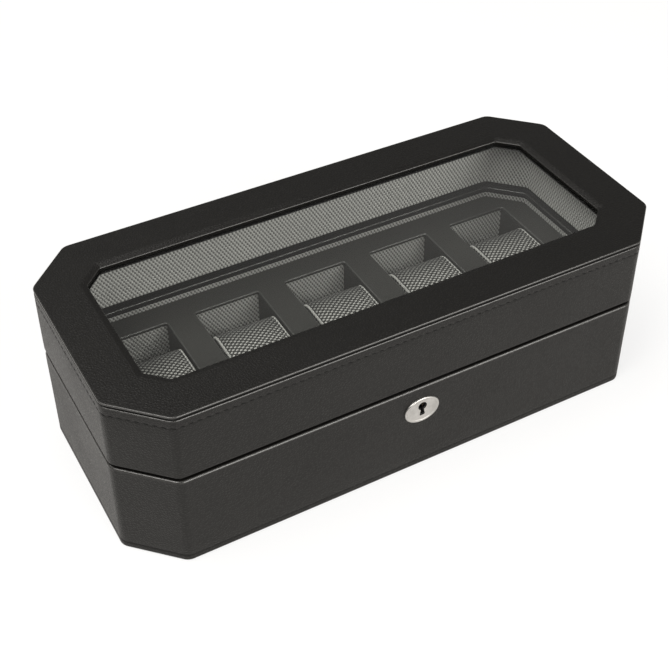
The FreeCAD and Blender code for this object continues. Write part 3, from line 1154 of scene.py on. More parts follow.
@dataclass
class Lid:
    """The lid: board walls and rails in leatherette, a stitched band, a woven lining and the window."""

    outline: Outline
    leather: float = 1 * MM
    bottom: float = 62.8 * MM
    top: float = 105.9 * MM
    rim_round: float = 1.4 * MM
    wall: float = 12 * MM
    lining: float = 1 * MM
    lip: float = 1.35 * MM
    groove: float = 1.25 * MM
    seam: float = 98.2 * MM
    seam_depth: float = 0.22 * MM
    seam_width: float = 1.1 * MM
    crease: float = 0.3 * MM
    crown_pitch: float = 1.5 * MM
    skirt_gap: float = 0.15 * MM
    skirt_round: float = 0.5 * MM
    window: float = 26.6 * MM
    window_turned: float = 0.25 * MM
    slope: float = 4.2 * MM
    slope_drop: float = 1.24 * MM
    slope_dip: tuple[Spot, ...] = ((0.0, 0.0), (0.7, 0.09), (1.5, 0.34), (2.6, 0.74))
    window_edge: float = 0.7 * MM
    window_arc: float = math.radians(70)
    rail_bottom: float = 100.5 * MM
    glass_seat: float = 102.6 * MM
    lining_edge: float = 0.3 * MM
    retainer: float = 1 * MM
    retainer_round: float = 0.5 * MM
    sway: float = 0.2 * MM
    stitch_pitch: float = 4.6 * MM
    stitch_length: float = 3.4 * MM
    stitch_radius: float = 0.34 * MM
    stitch_stand: float = 0.08 * MM
    stitch_slant: float = math.radians(14)
    boards: tuple[str, ...] = (
        "lid_front_wall",
        "lid_back_wall",
        "lid_left_wall",
        "lid_right_wall",
        "lid_corner_walls",
        "lid_top_front_rail",
        "lid_top_back_rail",
        "lid_top_end_rails",
        "lid_top_corner_rails",
    )

    def band(self, cutters: Iterable[bpy.types.Mesh]) -> bpy.types.Mesh:
        """Leather band round the lid's sides, with the crease of its stitched seam.

        Args:
            cutters: What the lock and the hinges take out of it.

        Returns:
            The band.
        """
        r, low = self.rim_round, self.bottom + self.rim_round
        crown = self.top - self.lip - self.groove
        roll = 0.8 * self.leather
        inner = self.bottom + self.leather
        below, above = self.seam - self.seam_width, self.seam + self.seam_width
        profile = [
            Rung(self.wall, self.bottom),
            # Painted shade on the underside of the lid's lower rolled edge.
            *with_painted_shade(sweep(r, low, r, -90, -35, 0.0, 4)),
            *sweep(r, low, r, -20, 0, 0.0, 2),
            *run((0.0, low), (0.0, below), self.sway),
            Rung(0.0, below),
            Rung(self.seam_depth * 0.75, self.seam - self.crease),
            Rung(self.seam_depth, self.seam),
            Rung(self.seam_depth * 0.6, self.seam + self.crease),
            Rung(0.0, above),
            *run((0.0, above), (0.0, crown - roll), 0.0, self.crown_pitch),
            # Abrasion and a painted highlight along the band's rolled top edge, then painted shade in the groove above
            # it.
            *sweep(roll, crown - roll, roll, 0, 90, 1.0),
            *with_painted_shade([Rung(self.leather, crown)]),
            Rung(self.leather, inner),
            Rung(self.wall, inner),
        ]
        return cut(loft("lid_band", self.outline, profile), *cutters)

    def cover(self) -> bpy.types.Mesh:
        """Leather top with its rolled outer edge and the soft edge round the window.

        Returns:
            The cover.
        """
        half = self.lip / 2
        skirt, tight = self.leather - self.skirt_gap, self.skirt_round
        foot = self.top - self.lip - self.groove
        board = self.top - self.leather
        soft, inner = self.window_edge, self.window + self.window_turned
        drop = self.slope_drop + soft * math.sin(self.window_arc)
        dip = [Rung(inner - self.slope + x * MM, self.top - z * MM) for x, z in self.slope_dip]
        profile = [
            # Painted shade under the lip, then abrasion and a painted highlight along its roll.
            *with_painted_shade(sweep(half, self.top - half, half, -90, -40, 0.0, 3)),
            *sweep(half, self.top - half, half, -25, 90, 1.0, 8),
            *run((half, self.top), (inner - self.slope, self.top), self.sway * 0.6),
            *dip,
            # Painted highlight along the window's soft edge.
            *sweep(inner - soft, self.top - drop, soft, 110, 180, 0.7, 6),
            Rung(inner, self.glass_seat),
            Rung(inner - self.leather, self.glass_seat),
            Rung(inner - self.leather, board),
            Rung(self.leather, board, round=tight),
            Rung(self.leather, foot, round=tight),
            # Painted shade on the skirt inside the groove under the lip.
            *with_painted_shade([Rung(skirt, foot, round=tight), Rung(skirt, self.top - self.lip, round=tight)]),
        ]
        return loft("lid_cover", self.outline, profile)

    def stitches(self) -> bpy.types.Mesh:
        """Row of slanted stitches that lie in the band's seam.

        Returns:
            One mesh of all the stitches.
        """
        build = bmesh.new()
        loop = self.outline.loop(self.stitch_radius - self.stitch_stand)
        whole = sum(sides(loop))
        count = round(whole / self.stitch_pitch)
        step = whole / count
        size = Matrix.Diagonal((self.stitch_length / 2, self.stitch_radius, self.stitch_radius, 1.0))
        spin = Matrix.Rotation(-self.stitch_slant, 4, "Y")
        for start, end, share in paces(loop, [(number + 0.5) * step for number in range(count)]):
            middle = start.lerp(end, share)
            along = Vector((*(end - start).normalized(), 0.0))
            out = Vector((along.y, -along.x, 0.0))
            turn = Matrix((along, out, along.cross(out))).transposed().to_4x4()
            seat = Matrix.Translation((middle.x, middle.y, self.seam))
            bmesh.ops.create_uvsphere(build, u_segments=8, v_segments=6, radius=1.0, matrix=seat @ turn @ spin @ size)
        return to_mesh("lid_stitches", build)

    def lining_ring(self) -> bpy.types.Mesh:
        """Woven lining round the inside of the lid.

        Returns:
            The lining.
        """
        outer, inner = self.wall - self.lining, self.wall
        low, high = self.bottom + self.leather, self.rail_bottom - self.retainer
        profile = [
            Rung(outer, low),
            Rung(inner - self.lining_edge, low),
            Rung(inner, low + self.lining_edge),
            *run((inner, low), (inner, high)),
            Rung(inner, high),
            Rung(outer, high),
        ]
        return loft("lid_lining_cloth", self.outline, profile)

    def retainer_ring(self) -> bpy.types.Mesh:
        """Covered ring that holds the glass up from inside.

        Returns:
            The ring.
        """
        outer, low, r = self.wall - self.lining, self.rail_bottom - self.retainer, self.retainer_round
        profile = [
            Rung(outer, low),
            *run((outer, low), (self.window - r, low)),
            # Painted shade on the ring's inner edge and face under the glass.
            *with_painted_shade(reversed(sweep(self.window - r, low + r, r, 180, 270))),
            *with_painted_shade([Rung(self.window, self.rail_bottom)]),
            Rung(outer, self.rail_bottom),
        ]
        return loft("glass_ring", self.outline, profile)

    def build(self, frame: Mapping[str, Any], finishes: Finishes, cutters: Iterable[bpy.types.Mesh]) -> None:
        """Adds the lid's pieces.

        Args:
            frame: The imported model.
            finishes: The finishes.
            cutters: What the lock and the hinges take out of the band.
        """
        body = Body.LID.value
        add_piece("lid_top_cover", self.cover(), finishes.covering, body, Slot.BLACK_LEATHER, "lid_leather_top")
        add_piece("lid_side_band", self.band(cutters), finishes.covering, body, Slot.BLACK_LEATHER, "lid_leather_band")
        add_piece("lid_seam_stitches", self.stitches(), finishes.thread, body, Slot.BLACK_LEATHER)
        add_piece("lid_inner_lining", self.lining_ring(), finishes.lining, body, Slot.WOVEN_LINING, "lid_lining")
        add_piece("lid_glass_ring", self.retainer_ring(), finishes.tray, body, Slot.TRAY_LEATHER, "glass_retainer")
        dress_solid(frame["nodes"]["window_glass"], finishes.glass)
        for node in self.boards:
            dress_solid(frame["nodes"][node], finishes.board)


@dataclass
class Tray:
    """The tray: a covered frame with five openings over compartments with woven ends and floor."""

    outline: Outline
    inset: float = 14.2 * MM
    top: float = 54.2 * MM
    bottom: float = 51.7 * MM
    floor_top: float = 9.4 * MM
    floor_bottom: float = 7.4 * MM
    count: int = 5
    pitch: float = 58.6 * MM
    opening: float = 41 * MM
    opening_length: float = 93 * MM
    opening_round: float = 1.6 * MM
    opening_steps: int = 4
    board: float = 2 * MM
    board_edge: float = 0.2 * MM
    side_edge: float = 0.25 * MM
    side_inset: float = 0.2 * MM
    lip: float = 0.9 * MM
    recess: float = 0.8 * MM

    def middles(self) -> list[float]:
        """Where the compartments' middles are along X."""
        return [(i - (self.count - 1) / 2) * self.pitch for i in range(self.count)]

    def half_length(self) -> float:
        """How far the row of compartments reaches along X, with its boards."""
        return self.middles()[-1] + self.opening / 2 + self.board

    def opening_loop(self, middle: float, grow: float) -> list[Vector]:
        """Rounded opening, made larger.

        Args:
            middle: The opening's middle along X.
            grow: How much larger at each side.

        Returns:
            Points round it.
        """
        x, y = self.opening / 2 + grow, self.opening_length / 2 + grow
        radius = self.opening_round + grow
        points = []
        for i, (sx, sy) in enumerate(((1, 1), (-1, 1), (-1, -1), (1, -1))):
            centre = Vector((middle + sx * (x - radius), sy * (y - radius)))
            for k in range(self.opening_steps + 1):
                turn = math.radians(90 * i + 90 * k / self.opening_steps)
                points.append(centre + Vector((math.cos(turn), math.sin(turn))) * radius)
        return points

    def frame_plate(self) -> bpy.types.Mesh:
        """Covered plate with five openings whose edges are rolled.

        Returns:
            The plate.
        """
        build = bmesh.new()
        wear_and_light_layer = build.verts.layers.float.new(WEAR_AND_PAINTED_LIGHT)
        r = self.lip
        # Abrasion and a painted highlight along the rolled edges of the openings.
        edge = sweep(r, self.top - r, r, 90, 0, 1.0)
        edge += sweep(r, self.bottom + r, r, 0, -90, 0.0)
        faces: dict[float, list[bmesh.types.BMEdge]] = {self.top: [], self.bottom: []}
        borders = [[self.outline.loop(self.inset + rung.inset) for rung in edge]]
        borders += [[self.opening_loop(middle, rung.inset) for rung in edge] for middle in self.middles()]
        for border in borders:
            rings = [ring_with_wear_and_light(build, wear_and_light_layer, loop, rung) for rung, loop in zip(edge, border)]
            bridge(build, rings)
            for height, ring in ((self.top, rings[0]), (self.bottom, rings[-1])):
                faces[height] += [build.edges.get((ring[j], ring[(j + 1) % len(ring)])) for j in range(len(ring))]
        for edges in faces.values():
            bmesh.ops.triangle_fill(build, use_beauty=True, use_dissolve=False, edges=edges)
        return to_mesh("tray_plate", build)

    def side_boards(self) -> bpy.types.Mesh:
        """Covered boards at the sides of every compartment.

        Returns:
            One mesh of all the boards.
        """
        half = self.opening_length / 2 + self.recess
        boxes = []
        for middle in self.middles():
            for side in (-1, 1):
                near = middle + side * (self.opening / 2 + self.side_inset)
                far = middle + side * (self.opening / 2 + self.board)
                boxes.append(((min(near, far), -half, self.floor_top), (max(near, far), half, self.bottom)))
        return boards("tray_side_boards", boxes, self.side_edge)

    def end_board(self, side: int) -> bpy.types.Mesh:
        """Woven board at the front or back of the compartments, set back under the frame.

        Args:
            side: -1 for the front, 1 for the back.

        Returns:
            The board.
        """
        half = self.half_length()
        near, far = sorted(side * (self.opening_length / 2 + d) for d in (self.recess, self.board))
        box = ((-half, near, self.floor_top), (half, far, self.bottom))
        return boards("tray_end_board", [box], self.board_edge)

    def floor(self) -> bpy.types.Mesh:
        """Woven floor board.

        Returns:
            The board.
        """
        half = self.half_length()
        deep = self.opening_length / 2 + self.board
        box = ((-half, -deep, self.floor_bottom), (half, deep, self.floor_top))
        return boards("tray_floor_board", [box], self.board_edge)

    def build(self, finishes: Finishes) -> None:
        """Adds the tray's pieces.

        Args:
            finishes: The finishes.
        """
        body = Body.BASE.value
        add_piece("tray_top_frame", self.frame_plate(), finishes.tray, body, Slot.TRAY_LEATHER, "tray_frame")
        add_piece("tray_sides", self.side_boards(), finishes.tray, body, Slot.TRAY_LEATHER, "tray_side_walls")
        for side, name in ((-1, "front"), (1, "back")):
            board = self.end_board(side)
            add_piece(f"tray_{name}", board, finishes.lining, body, Slot.WOVEN_LINING, f"tray_{name}_wall")
        add_piece("tray_bottom", self.floor(), finishes.lining, body, Slot.WOVEN_LINING, "tray_floor")


@dataclass
class CushionSet:
    """Five foam cushions in woven covers, sewn with a hem along both ends."""

    middles: Sequence[float]
    width: float = 38 * MM
    length: float = 55 * MM
    bottom: float = 9.7 * MM
    top: float = 54.4 * MM
    top_round: float = 8.6 * MM
    foot_round: float = 7 * MM
    hem: float = 1.5 * MM
    hem_groove: float = 0.6 * MM
    hem_tone: float = 0.7
    groove_tone: float = -1.0
    seam_play: float = 0.3 * MM
    end_draw: float = 0.55 * MM
    end_rings: tuple[float, ...] = (18.0, 13.0, 9.0, 6.0, 3.6)
    end_hollow: float = 0.5 * MM
    end_start: float = 1.2 * MM
    side_draw: float = 0.62
    around: int = 96
    across: int = 26
    arc_steps: int = 12
    sim_scale: float = 10.0
    sim_frames: int = 20
    sim_quality: int = 6
    sim_held: float = 0.6 * MM
    pressure: float = 4.0
    give: float = 0.9 * MM
    shoulder_shade: float = 0.74
    shoulder_shade_end: float = 21 * MM
    dent: float = 0.35 * MM
    dent_size: float = 17 * MM
    dent_shift: Point = (11.3, 5.7, 0.0)

    def section(self, draw: float) -> list[Spot]:
        """Outline of a cushion across the box.

        Args:
            draw: How far it is drawn in at this place.

        Returns:
            Evenly spaced Y and Z places, from the middle of the underside.
        """
        half = self.length / 2 - draw
        low, high = self.bottom + draw * 0.3, self.top - draw
        corners = ((half, low, self.foot_round, -90), (half, high, self.top_round, 0))
        side: list[Vector] = [Vector((0.0, low))]
        for y, z, full, start in corners:
            r = max(full - draw, 0.5 * MM)
            centre = Vector((y - r, z + r if start < 0 else z - r))
            for k in range(self.arc_steps + 1):
                turn = math.radians(start + 90 * k / self.arc_steps)
                side.append(centre + Vector((math.cos(turn), math.sin(turn))) * r)
        side.append(Vector((0.0, high)))
        path = side + [Vector((-spot.x, spot.y)) for spot in reversed(side[1:-1])]
        whole = sum(sides(path))
        goals = [whole * i / self.around for i in range(self.around)]
        spots = [first.lerp(second, share) for first, second, share in paces(path, goals)]
        return [(spot.x, spot.y) for spot in spots]

    def stations(self) -> list[Spot]:
        """Places across the cushion and how far each is drawn in, from one end's middle to the other's.

        Returns:
            Pairs of a place along X and a draw, from one end to the other.
        """
        half = self.width / 2
        inner = half - self.hem
        start = inner - 0.5 * MM
        left = [(half - self.end_hollow, d * MM) for d in self.end_rings]
        left += [(half - 0.15 * MM, 2.4 * MM), (half, self.end_draw + 0.25 * MM)]
        left += [(half - 0.35 * MM, self.end_draw * 0.75), (half - 0.9 * MM, self.end_draw * 0.68)]
        left += [(inner, self.end_draw * 0.7 + self.hem_groove), (start, self.end_draw * self.side_draw)]
        body = []
        for i in range(1, self.across):
            x = start - 2 * start * i / self.across
            share = abs(x) / start
            body.append((x, self.end_draw * self.side_draw * share**4))
        return left + body + [(-x, d) for x, d in reversed(left)]

    def tone(self, y: float, deep: float, draw: float) -> float:
        """Marks of the cover: pale thread on the hem, painted shade in its groove, and painted shade that darkens it
        towards the front and back.

        Args:
            y: Place along the cushion.
            deep: How far in from the end it is.
            draw: How far it is drawn in.

        Returns:
            The wear, above 0 for paler and below 0 for darker.
        """
        if draw > self.end_start or deep > self.hem + self.seam_play:
            # Painted shade: darker towards the front and back.
            return -self.shoulder_shade * min(abs(y) / self.shoulder_shade_end, 1.0)
        return self.hem_tone if deep < self.hem - self.seam_play else self.groove_tone

    def shape(self) -> bpy.types.Mesh:
        """One cushion as it is cut and sewn, before its foam fills it, with its middle on X 0.

        Returns:
            The sewn cover.
        """
        build = bmesh.new()
        cloth = build.loops.layers.uv.new(CLOTH_UV)
        wear_and_light_layer = build.verts.layers.float.new(WEAR_AND_PAINTED_LIGHT)
        stations = self.stations()
        rings = []
        for x, draw in stations:
            ring = [build.verts.new((x, y, z)) for y, z in self.section(draw)]
            for vert in ring:
                vert[wear_and_light_layer] = self.tone(vert.co.y, self.width / 2 - abs(x), draw)
            rings.append(ring)
        full = self.section(0.0)
        step = sum(math.dist(full[i - 1], full[i]) for i in range(len(full))) / len(full)
        lengths = [0.0, *accumulate(math.dist(first, second) for first, second in zip(stations, stations[1:]))]
        for i in range(len(rings) - 1):
            for j in range(self.around):
                k = (j + 1) % self.around
                face = build.faces.new((rings[i][j], rings[i][k], rings[i + 1][k], rings[i + 1][j]))
                spots = ((lengths[i], j), (lengths[i], j + 1), (lengths[i + 1], j + 1), (lengths[i + 1], j))
                for corner, (u, v) in zip(face.loops, spots):
                    corner[cloth].uv = (u, v * step)
        for ring in (rings[0], rings[-1]):
            face = build.faces.new(ring)
            for corner in face.loops:
                corner[cloth].uv = (corner.vert.co.y, corner.vert.co.z)
        return to_mesh("cushion_cover", build)

    def filled(self, mesh: bpy.types.Mesh) -> bpy.types.Mesh:
        """Fills the cover: cloth under pressure, held along its hems.

        Args:
            mesh: The cover as it is sewn.

        Returns:
            The filled cover.
        """
        scene = bpy.context.scene
        rest = [vert.co.copy() for vert in mesh.vertices]
        mesh.transform(Matrix.Scale(self.sim_scale, 4))
        piece = bpy.data.objects.new("cushion_filling", mesh)
        scene.collection.objects.link(piece)
        held = piece.vertex_groups.new(name="hem")
        inner = self.width / 2 - self.hem - self.sim_held
        held.add([i for i, spot in enumerate(rest) if abs(spot.x) > inner], 1.0, "REPLACE")
        cloth = piece.modifiers.new("cover", "CLOTH")
        cloth.settings.vertex_group_mass = held.name
        cloth.settings.use_pressure = True
        cloth.settings.uniform_pressure_force = self.pressure
        cloth.settings.effector_weights.gravity = 0.0
        cloth.settings.quality = self.sim_quality
        cloth.collision_settings.use_collision = False
        cloth.point_cache.frame_start = 1
        cloth.point_cache.frame_end = self.sim_frames
        for number in range(1, self.sim_frames + 1):
            scene.frame_set(number)
        shown = piece.evaluated_get(bpy.context.evaluated_depsgraph_get())
        result = bpy.data.meshes.new_from_object(shown)
        bpy.data.objects.remove(piece)
        bpy.data.meshes.remove(mesh)
        scene.frame_set(1)
        for vert, spot in zip(result.vertices, rest):
            move = vert.co / self.sim_scale - spot
            move.length = min(move.length, self.give)
            vert.co = spot + move
        return smooth(result)

    def settled(self, mesh: bpy.types.Mesh, number: int) -> bpy.types.Mesh:
        """A copy with its own slight dents, moved to its place.

        Args:
            mesh: The filled cover.
            number: Which cushion it is, from 0.

        Returns:
            The placed copy.
        """
        copy = mesh.copy()
        for vert in copy.vertices:
            where = vert.co / self.dent_size + Vector(self.dent_shift) * number
            lift = noise.noise(where) * self.dent
            if abs(vert.co.x) < self.width / 2 - self.hem:
                vert.co += vert.normal * lift
            vert.co.x += self.middles[number]
        return copy

    def build(self, finishes: Finishes) -> None:
        """Adds the five cushions.

        Args:
            finishes: The finishes.
        """
        cover = self.shape()
        cover = self.filled(cover)
        for number in range(len(self.middles)):
            mesh = self.settled(cover, number)
            name = f"cushion_{number + 1}"
            piece = add_piece(f"{name}_cover", mesh, finishes.cushion, name, Slot.CUSHION_WEAVE, f"watch_{name}")
            piece.modifiers.remove(piece.modifiers["flat_faces"])
            piece.modifiers.new("soft", "SUBSURF").levels = 1
            piece.modifiers["soft"].render_levels = 1
        bpy.data.meshes.remove(cover)


@dataclass
class LockSet:
    """The lock: oval plate with its keyhole, case, faceplate, bolt, spring and the lid's link plate."""

    face: float = -76.8 * MM
    half_width: float = 10.9 * MM
    half_height: float = 8.65 * MM
    middle: float = 44.2 * MM
    key_z: float = 47 * MM
    key_radius: float = 2.75 * MM
    key_drop: float = 6.6 * MM
    key_neck: float = 1.05 * MM
    key_foot: float = 1.7 * MM
    key_corner: Spot = (0.5 * MM, 0.4 * MM)
    key_steps: int = 24
    key_reach: Spot = (-5 * MM, 1.6 * MM)
    covering_margin: float = 0.5 * MM
    keyhole_shade_margin: float = -0.7 * MM
    keyhole_shade_half: float = 3.2 * MM
    keyhole_shade_low: float = 5.2 * MM
    keyhole_shade_reach: Spot = (0.02 * MM, 0.9 * MM)
    plate_edge: float = 0.12 * MM
    works_edge: float = 0.08 * MM
    segments: int = 72
    dish: tuple[Spot, ...] = (
        (0.0, 0.0),
        (0.0, 0.5),
        (0.12, 0.82),
        (0.38, 1.06),
        (0.75, 1.18),
        (1.1, 1.16),
        (1.42, 1.02),
        (1.65, 0.86),
        (2.0, 0.8),
        (2.6, 0.82),
        (4.5, 0.92),
    )
    faceplate_room: Box = ((-21.1 * MM, -74.9 * MM, 59.5 * MM), (21.1 * MM, -68.3 * MM, 62.1 * MM))
    link_plate_room: Box = ((-18.1 * MM, -75.45 * MM, 61 * MM), (18.1 * MM, -71.65 * MM, 63.9 * MM))
    plates: tuple[str, ...] = ("lock_faceplate", "lock_link_plate")
    works: tuple[str, ...] = ("lock_case", "lock_cover", "lock_spring", "lock_bolt")

    def keyhole(self, grow: float) -> bpy.types.Mesh:
        """Keyhole as a solid to cut away.

        Args:
            grow: How much larger than the plate's own hole it is.

        Returns:
            The cutter.
        """
        radius, neck, foot = self.key_radius + grow, self.key_neck + grow, self.key_foot + grow
        start = math.asin(neck / radius)
        points = []
        for k in range(self.key_steps + 1):
            turn = start + (math.tau - 2 * start) * k / self.key_steps - math.pi / 2
            points.append((radius * math.cos(turn), self.key_z + radius * math.sin(turn)))
        low = self.key_z - self.key_drop - grow
        across, up = self.key_corner
        points += [(-foot, low + up), (-foot + across, low), (foot - across, low), (foot, low + up)]
        outwards, inwards = self.key_reach
        return extruded("keyhole_cutter", points, self.face + outwards, self.face + inwards)

    def mortise(self) -> bpy.types.Mesh:
        """Room for the faceplate in the base's rim."""
        return boards("mortise_cutter", [self.faceplate_room], CRISP)

    def link_room(self) -> bpy.types.Mesh:
        """Room for the link plate in the lid's rim."""
        return boards("link_cutter", [self.link_plate_room], CRISP)

    def plate(self) -> bpy.types.Mesh:
        """Oval plate with a rolled rim round a shallow dish, and the keyhole through it.

        Returns:
            The plate.
        """
        build = bmesh.new()
        rings = []
        for margin, height in self.dish:
            a, b, y = self.half_width - margin * MM, self.half_height - margin * MM, self.face - height * MM
            spots = [(a * math.cos(t), y, self.middle + b * math.sin(t)) for t in circle(self.segments)]
            rings.append([build.verts.new(spot) for spot in spots])
        bridge(build, rings)
        build.faces.new(rings[0])
        build.faces.new(rings[-1])
        return cut(to_mesh("lock_plate", build), self.keyhole(0.0))

    def keyhole_shade(self) -> bpy.types.Mesh:
        """Dark sheet in the covering behind the plate's keyhole, painted shade that fills the keyhole.

        Returns:
            The liner.
        """
        half, (near, far) = self.keyhole_shade_half, self.keyhole_shade_reach
        low, high = self.middle - self.keyhole_shade_low, self.key_z + half
        blank = boards("keyhole_shade_mesh", [((-half, self.face + near, low), (half, self.face + far, high))], CRISP)
        return cut(blank, self.keyhole(self.keyhole_shade_margin))

    def build(self, frame: Mapping[str, Any], finishes: Finishes) -> None:
        """Adds the lock's pieces.

        Args:
            frame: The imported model.
            finishes: The finishes.
        """
        body = Body.BASE.value
        add_piece("lock_oval_plate", self.plate(), finishes.nickel, body, Slot.SATIN_NICKEL, "lock_escutcheon")
        # A black sheet behind the keyhole paints its shade.
        add_piece("lock_keyhole_shade", self.keyhole_shade(), finishes.blackened, body, Slot.BLACKENED_STEEL)
        # The faceplate and link plate are painted near black: painted shade for the seam gap that they sit in.
        for node in self.plates:
            dress_solid(frame["nodes"][node], finishes.blackened, self.plate_edge)
        for node in self.works:
            dress_solid(frame["nodes"][node], finishes.steel, self.works_edge)


@dataclass
class HingeSet:
    """Two butt hinges with their pins, and every screw of the box."""

    length: float = 28 * MM
    places: tuple[float, ...] = (-89.3 * MM, 89.3 * MM)
    axis_y: float = 77.8 * MM
    axis_z: float = 61.7 * MM
    barrel: float = 2.3 * MM
    leaf_start: float = 71.7 * MM
    leaf_edge: float = 0.12 * MM
    room_beside: float = 0.1 * MM
    room_behind: float = 4 * MM
    base_room: Spot = (59.6 * MM, 66 * MM)
    lid_room: Spot = (58 * MM, 63.8 * MM)
    screw_pitch: float = 9 * MM
    screw_y: float = 73.55 * MM
    base_face: float = 60.6 * MM
    lid_face: float = 62.8 * MM
    faceplate_screw: Spot = (17 * MM, -71.6 * MM)
    link_plate_screw: Spot = (14 * MM, -73.55 * MM)
    head: float = 1.6 * MM
    head_top: Spot = (0.96, -0.02 * MM)
    head_rim: float = 0.06 * MM
    shank: float = 0.9 * MM
    screw_length: float = 8 * MM
    screw_tip: float = 1 * MM
    screw_sides: int = 20
    cross: Spot = (1 * MM, 0.22 * MM)
    cross_depth: float = 0.45 * MM
    cross_edge: float = 0.02 * MM
    leaves: tuple[str, ...] = ("hinge_base_leaves", "hinge_lid_leaves", "hinge_pins")

    def recess(self, place: float, low: float, high: float) -> bpy.types.Mesh:
        """Room for one leaf and the barrel.

        Args:
            place: The hinge's middle along X.
            low: Lowest place of the leaf's room.
            high: Highest place of the leaf's room.

        Returns:
            The cutter.
        """
        half = self.length / 2 + self.room_beside
        start, end = self.axis_y - self.barrel, self.axis_y + self.room_behind
        below, above = self.axis_z - self.barrel, self.axis_z + self.barrel
        outline = [(self.leaf_start, low), (start, low), (start, below), (end, below)]
        outline += [(end, above), (start, above), (start, high), (self.leaf_start, high)]
        mesh = extruded("hinge_cutter", outline, -half, half)
        turned = Matrix.Rotation(-math.pi / 2, 4, "Z") @ Matrix.Scale(-1, 4, (1, 0, 0))
        mesh.transform(Matrix.Translation((place, 0.0, 0.0)) @ turned)
        mesh.flip_normals()
        return mesh

    def screws(self, name: str, spots: Iterable[Spot], face: float, down: bool) -> bpy.types.Mesh:
        """Countersunk screws with a cross in their heads.

        Args:
            name: The mesh's name.
            spots: X and Y of each screw.
            face: Height of the face that the heads are flush with.
            down: Whether they are driven downwards.

        Returns:
            One mesh of all the screws.
        """
        build = bmesh.new()
        top_share, top = self.head_top
        rungs = (
            (self.head * top_share, top),
            (self.head, self.head_rim),
            (self.shank, self.head - self.shank),
            (self.shank, self.screw_length - self.screw_tip),
        )
        way = 1.0 if down else -1.0
        turns = circle(self.screw_sides)
        for x, y in spots:
            rings = []
            for radius, deep in rungs:
                z = face - way * deep
                rings.append([build.verts.new((x + radius * math.cos(t), y + radius * math.sin(t), z)) for t in turns])
            bridge(build, rings)
            tip = build.verts.new((x, y, face - way * self.screw_length))
            for j, vert in enumerate(rings[-1]):
                build.faces.new((vert, rings[-1][(j + 1) % self.screw_sides], tip))
            build.faces.new(rings[0])
        crosses = []
        for x, y in spots:
            for across, along in (self.cross, reversed(self.cross)):
                low = (x - across, y - along, face - self.cross_depth)
                high = (x + across, y + along, face + self.cross_depth)
                crosses.append(boards("cross_cutter", [(low, high)], self.cross_edge))
        return cut(to_mesh(name, build), *crosses)

    def build(self, frame: Mapping[str, Any], finishes: Finishes) -> None:
        """Adds the hinges and the screws.

        Args:
            frame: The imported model.
            finishes: The finishes.
        """
        for node in self.leaves:
            dress_solid(frame["nodes"][node], finishes.nickel, self.leaf_edge)
        steps = (-self.screw_pitch, 0.0, self.screw_pitch)
        leaf = [(place + step, self.screw_y) for place in self.places for step in steps]
        faceplate, link_plate = ([(-x, y), (x, y)] for x, y in (self.faceplate_screw, self.link_plate_screw))
        sets = (
            ("hinge_base_screws", leaf, self.base_face, True, Body.BASE),
            ("hinge_lid_screws", leaf, self.lid_face, False, Body.LID),
            ("lock_faceplate_screws", faceplate, self.base_face, True, Body.BASE),
            ("link_plate_screws", link_plate, self.lid_face, False, Body.LID),
        )
        for node, spots, face, down, body in sets:
            mesh = self.screws(f"{node}_mesh", spots, face, down)
            add_piece(f"{node}_cross", mesh, finishes.nickel, body.value, Slot.SATIN_NICKEL, node)


@dataclass(frozen=True)
class Lamp:
    """A soft lamp: its name, where it stands, its two sides in metres and its power in watts."""

    name: str
    place: Point
    width: float
    depth: float
    power: float


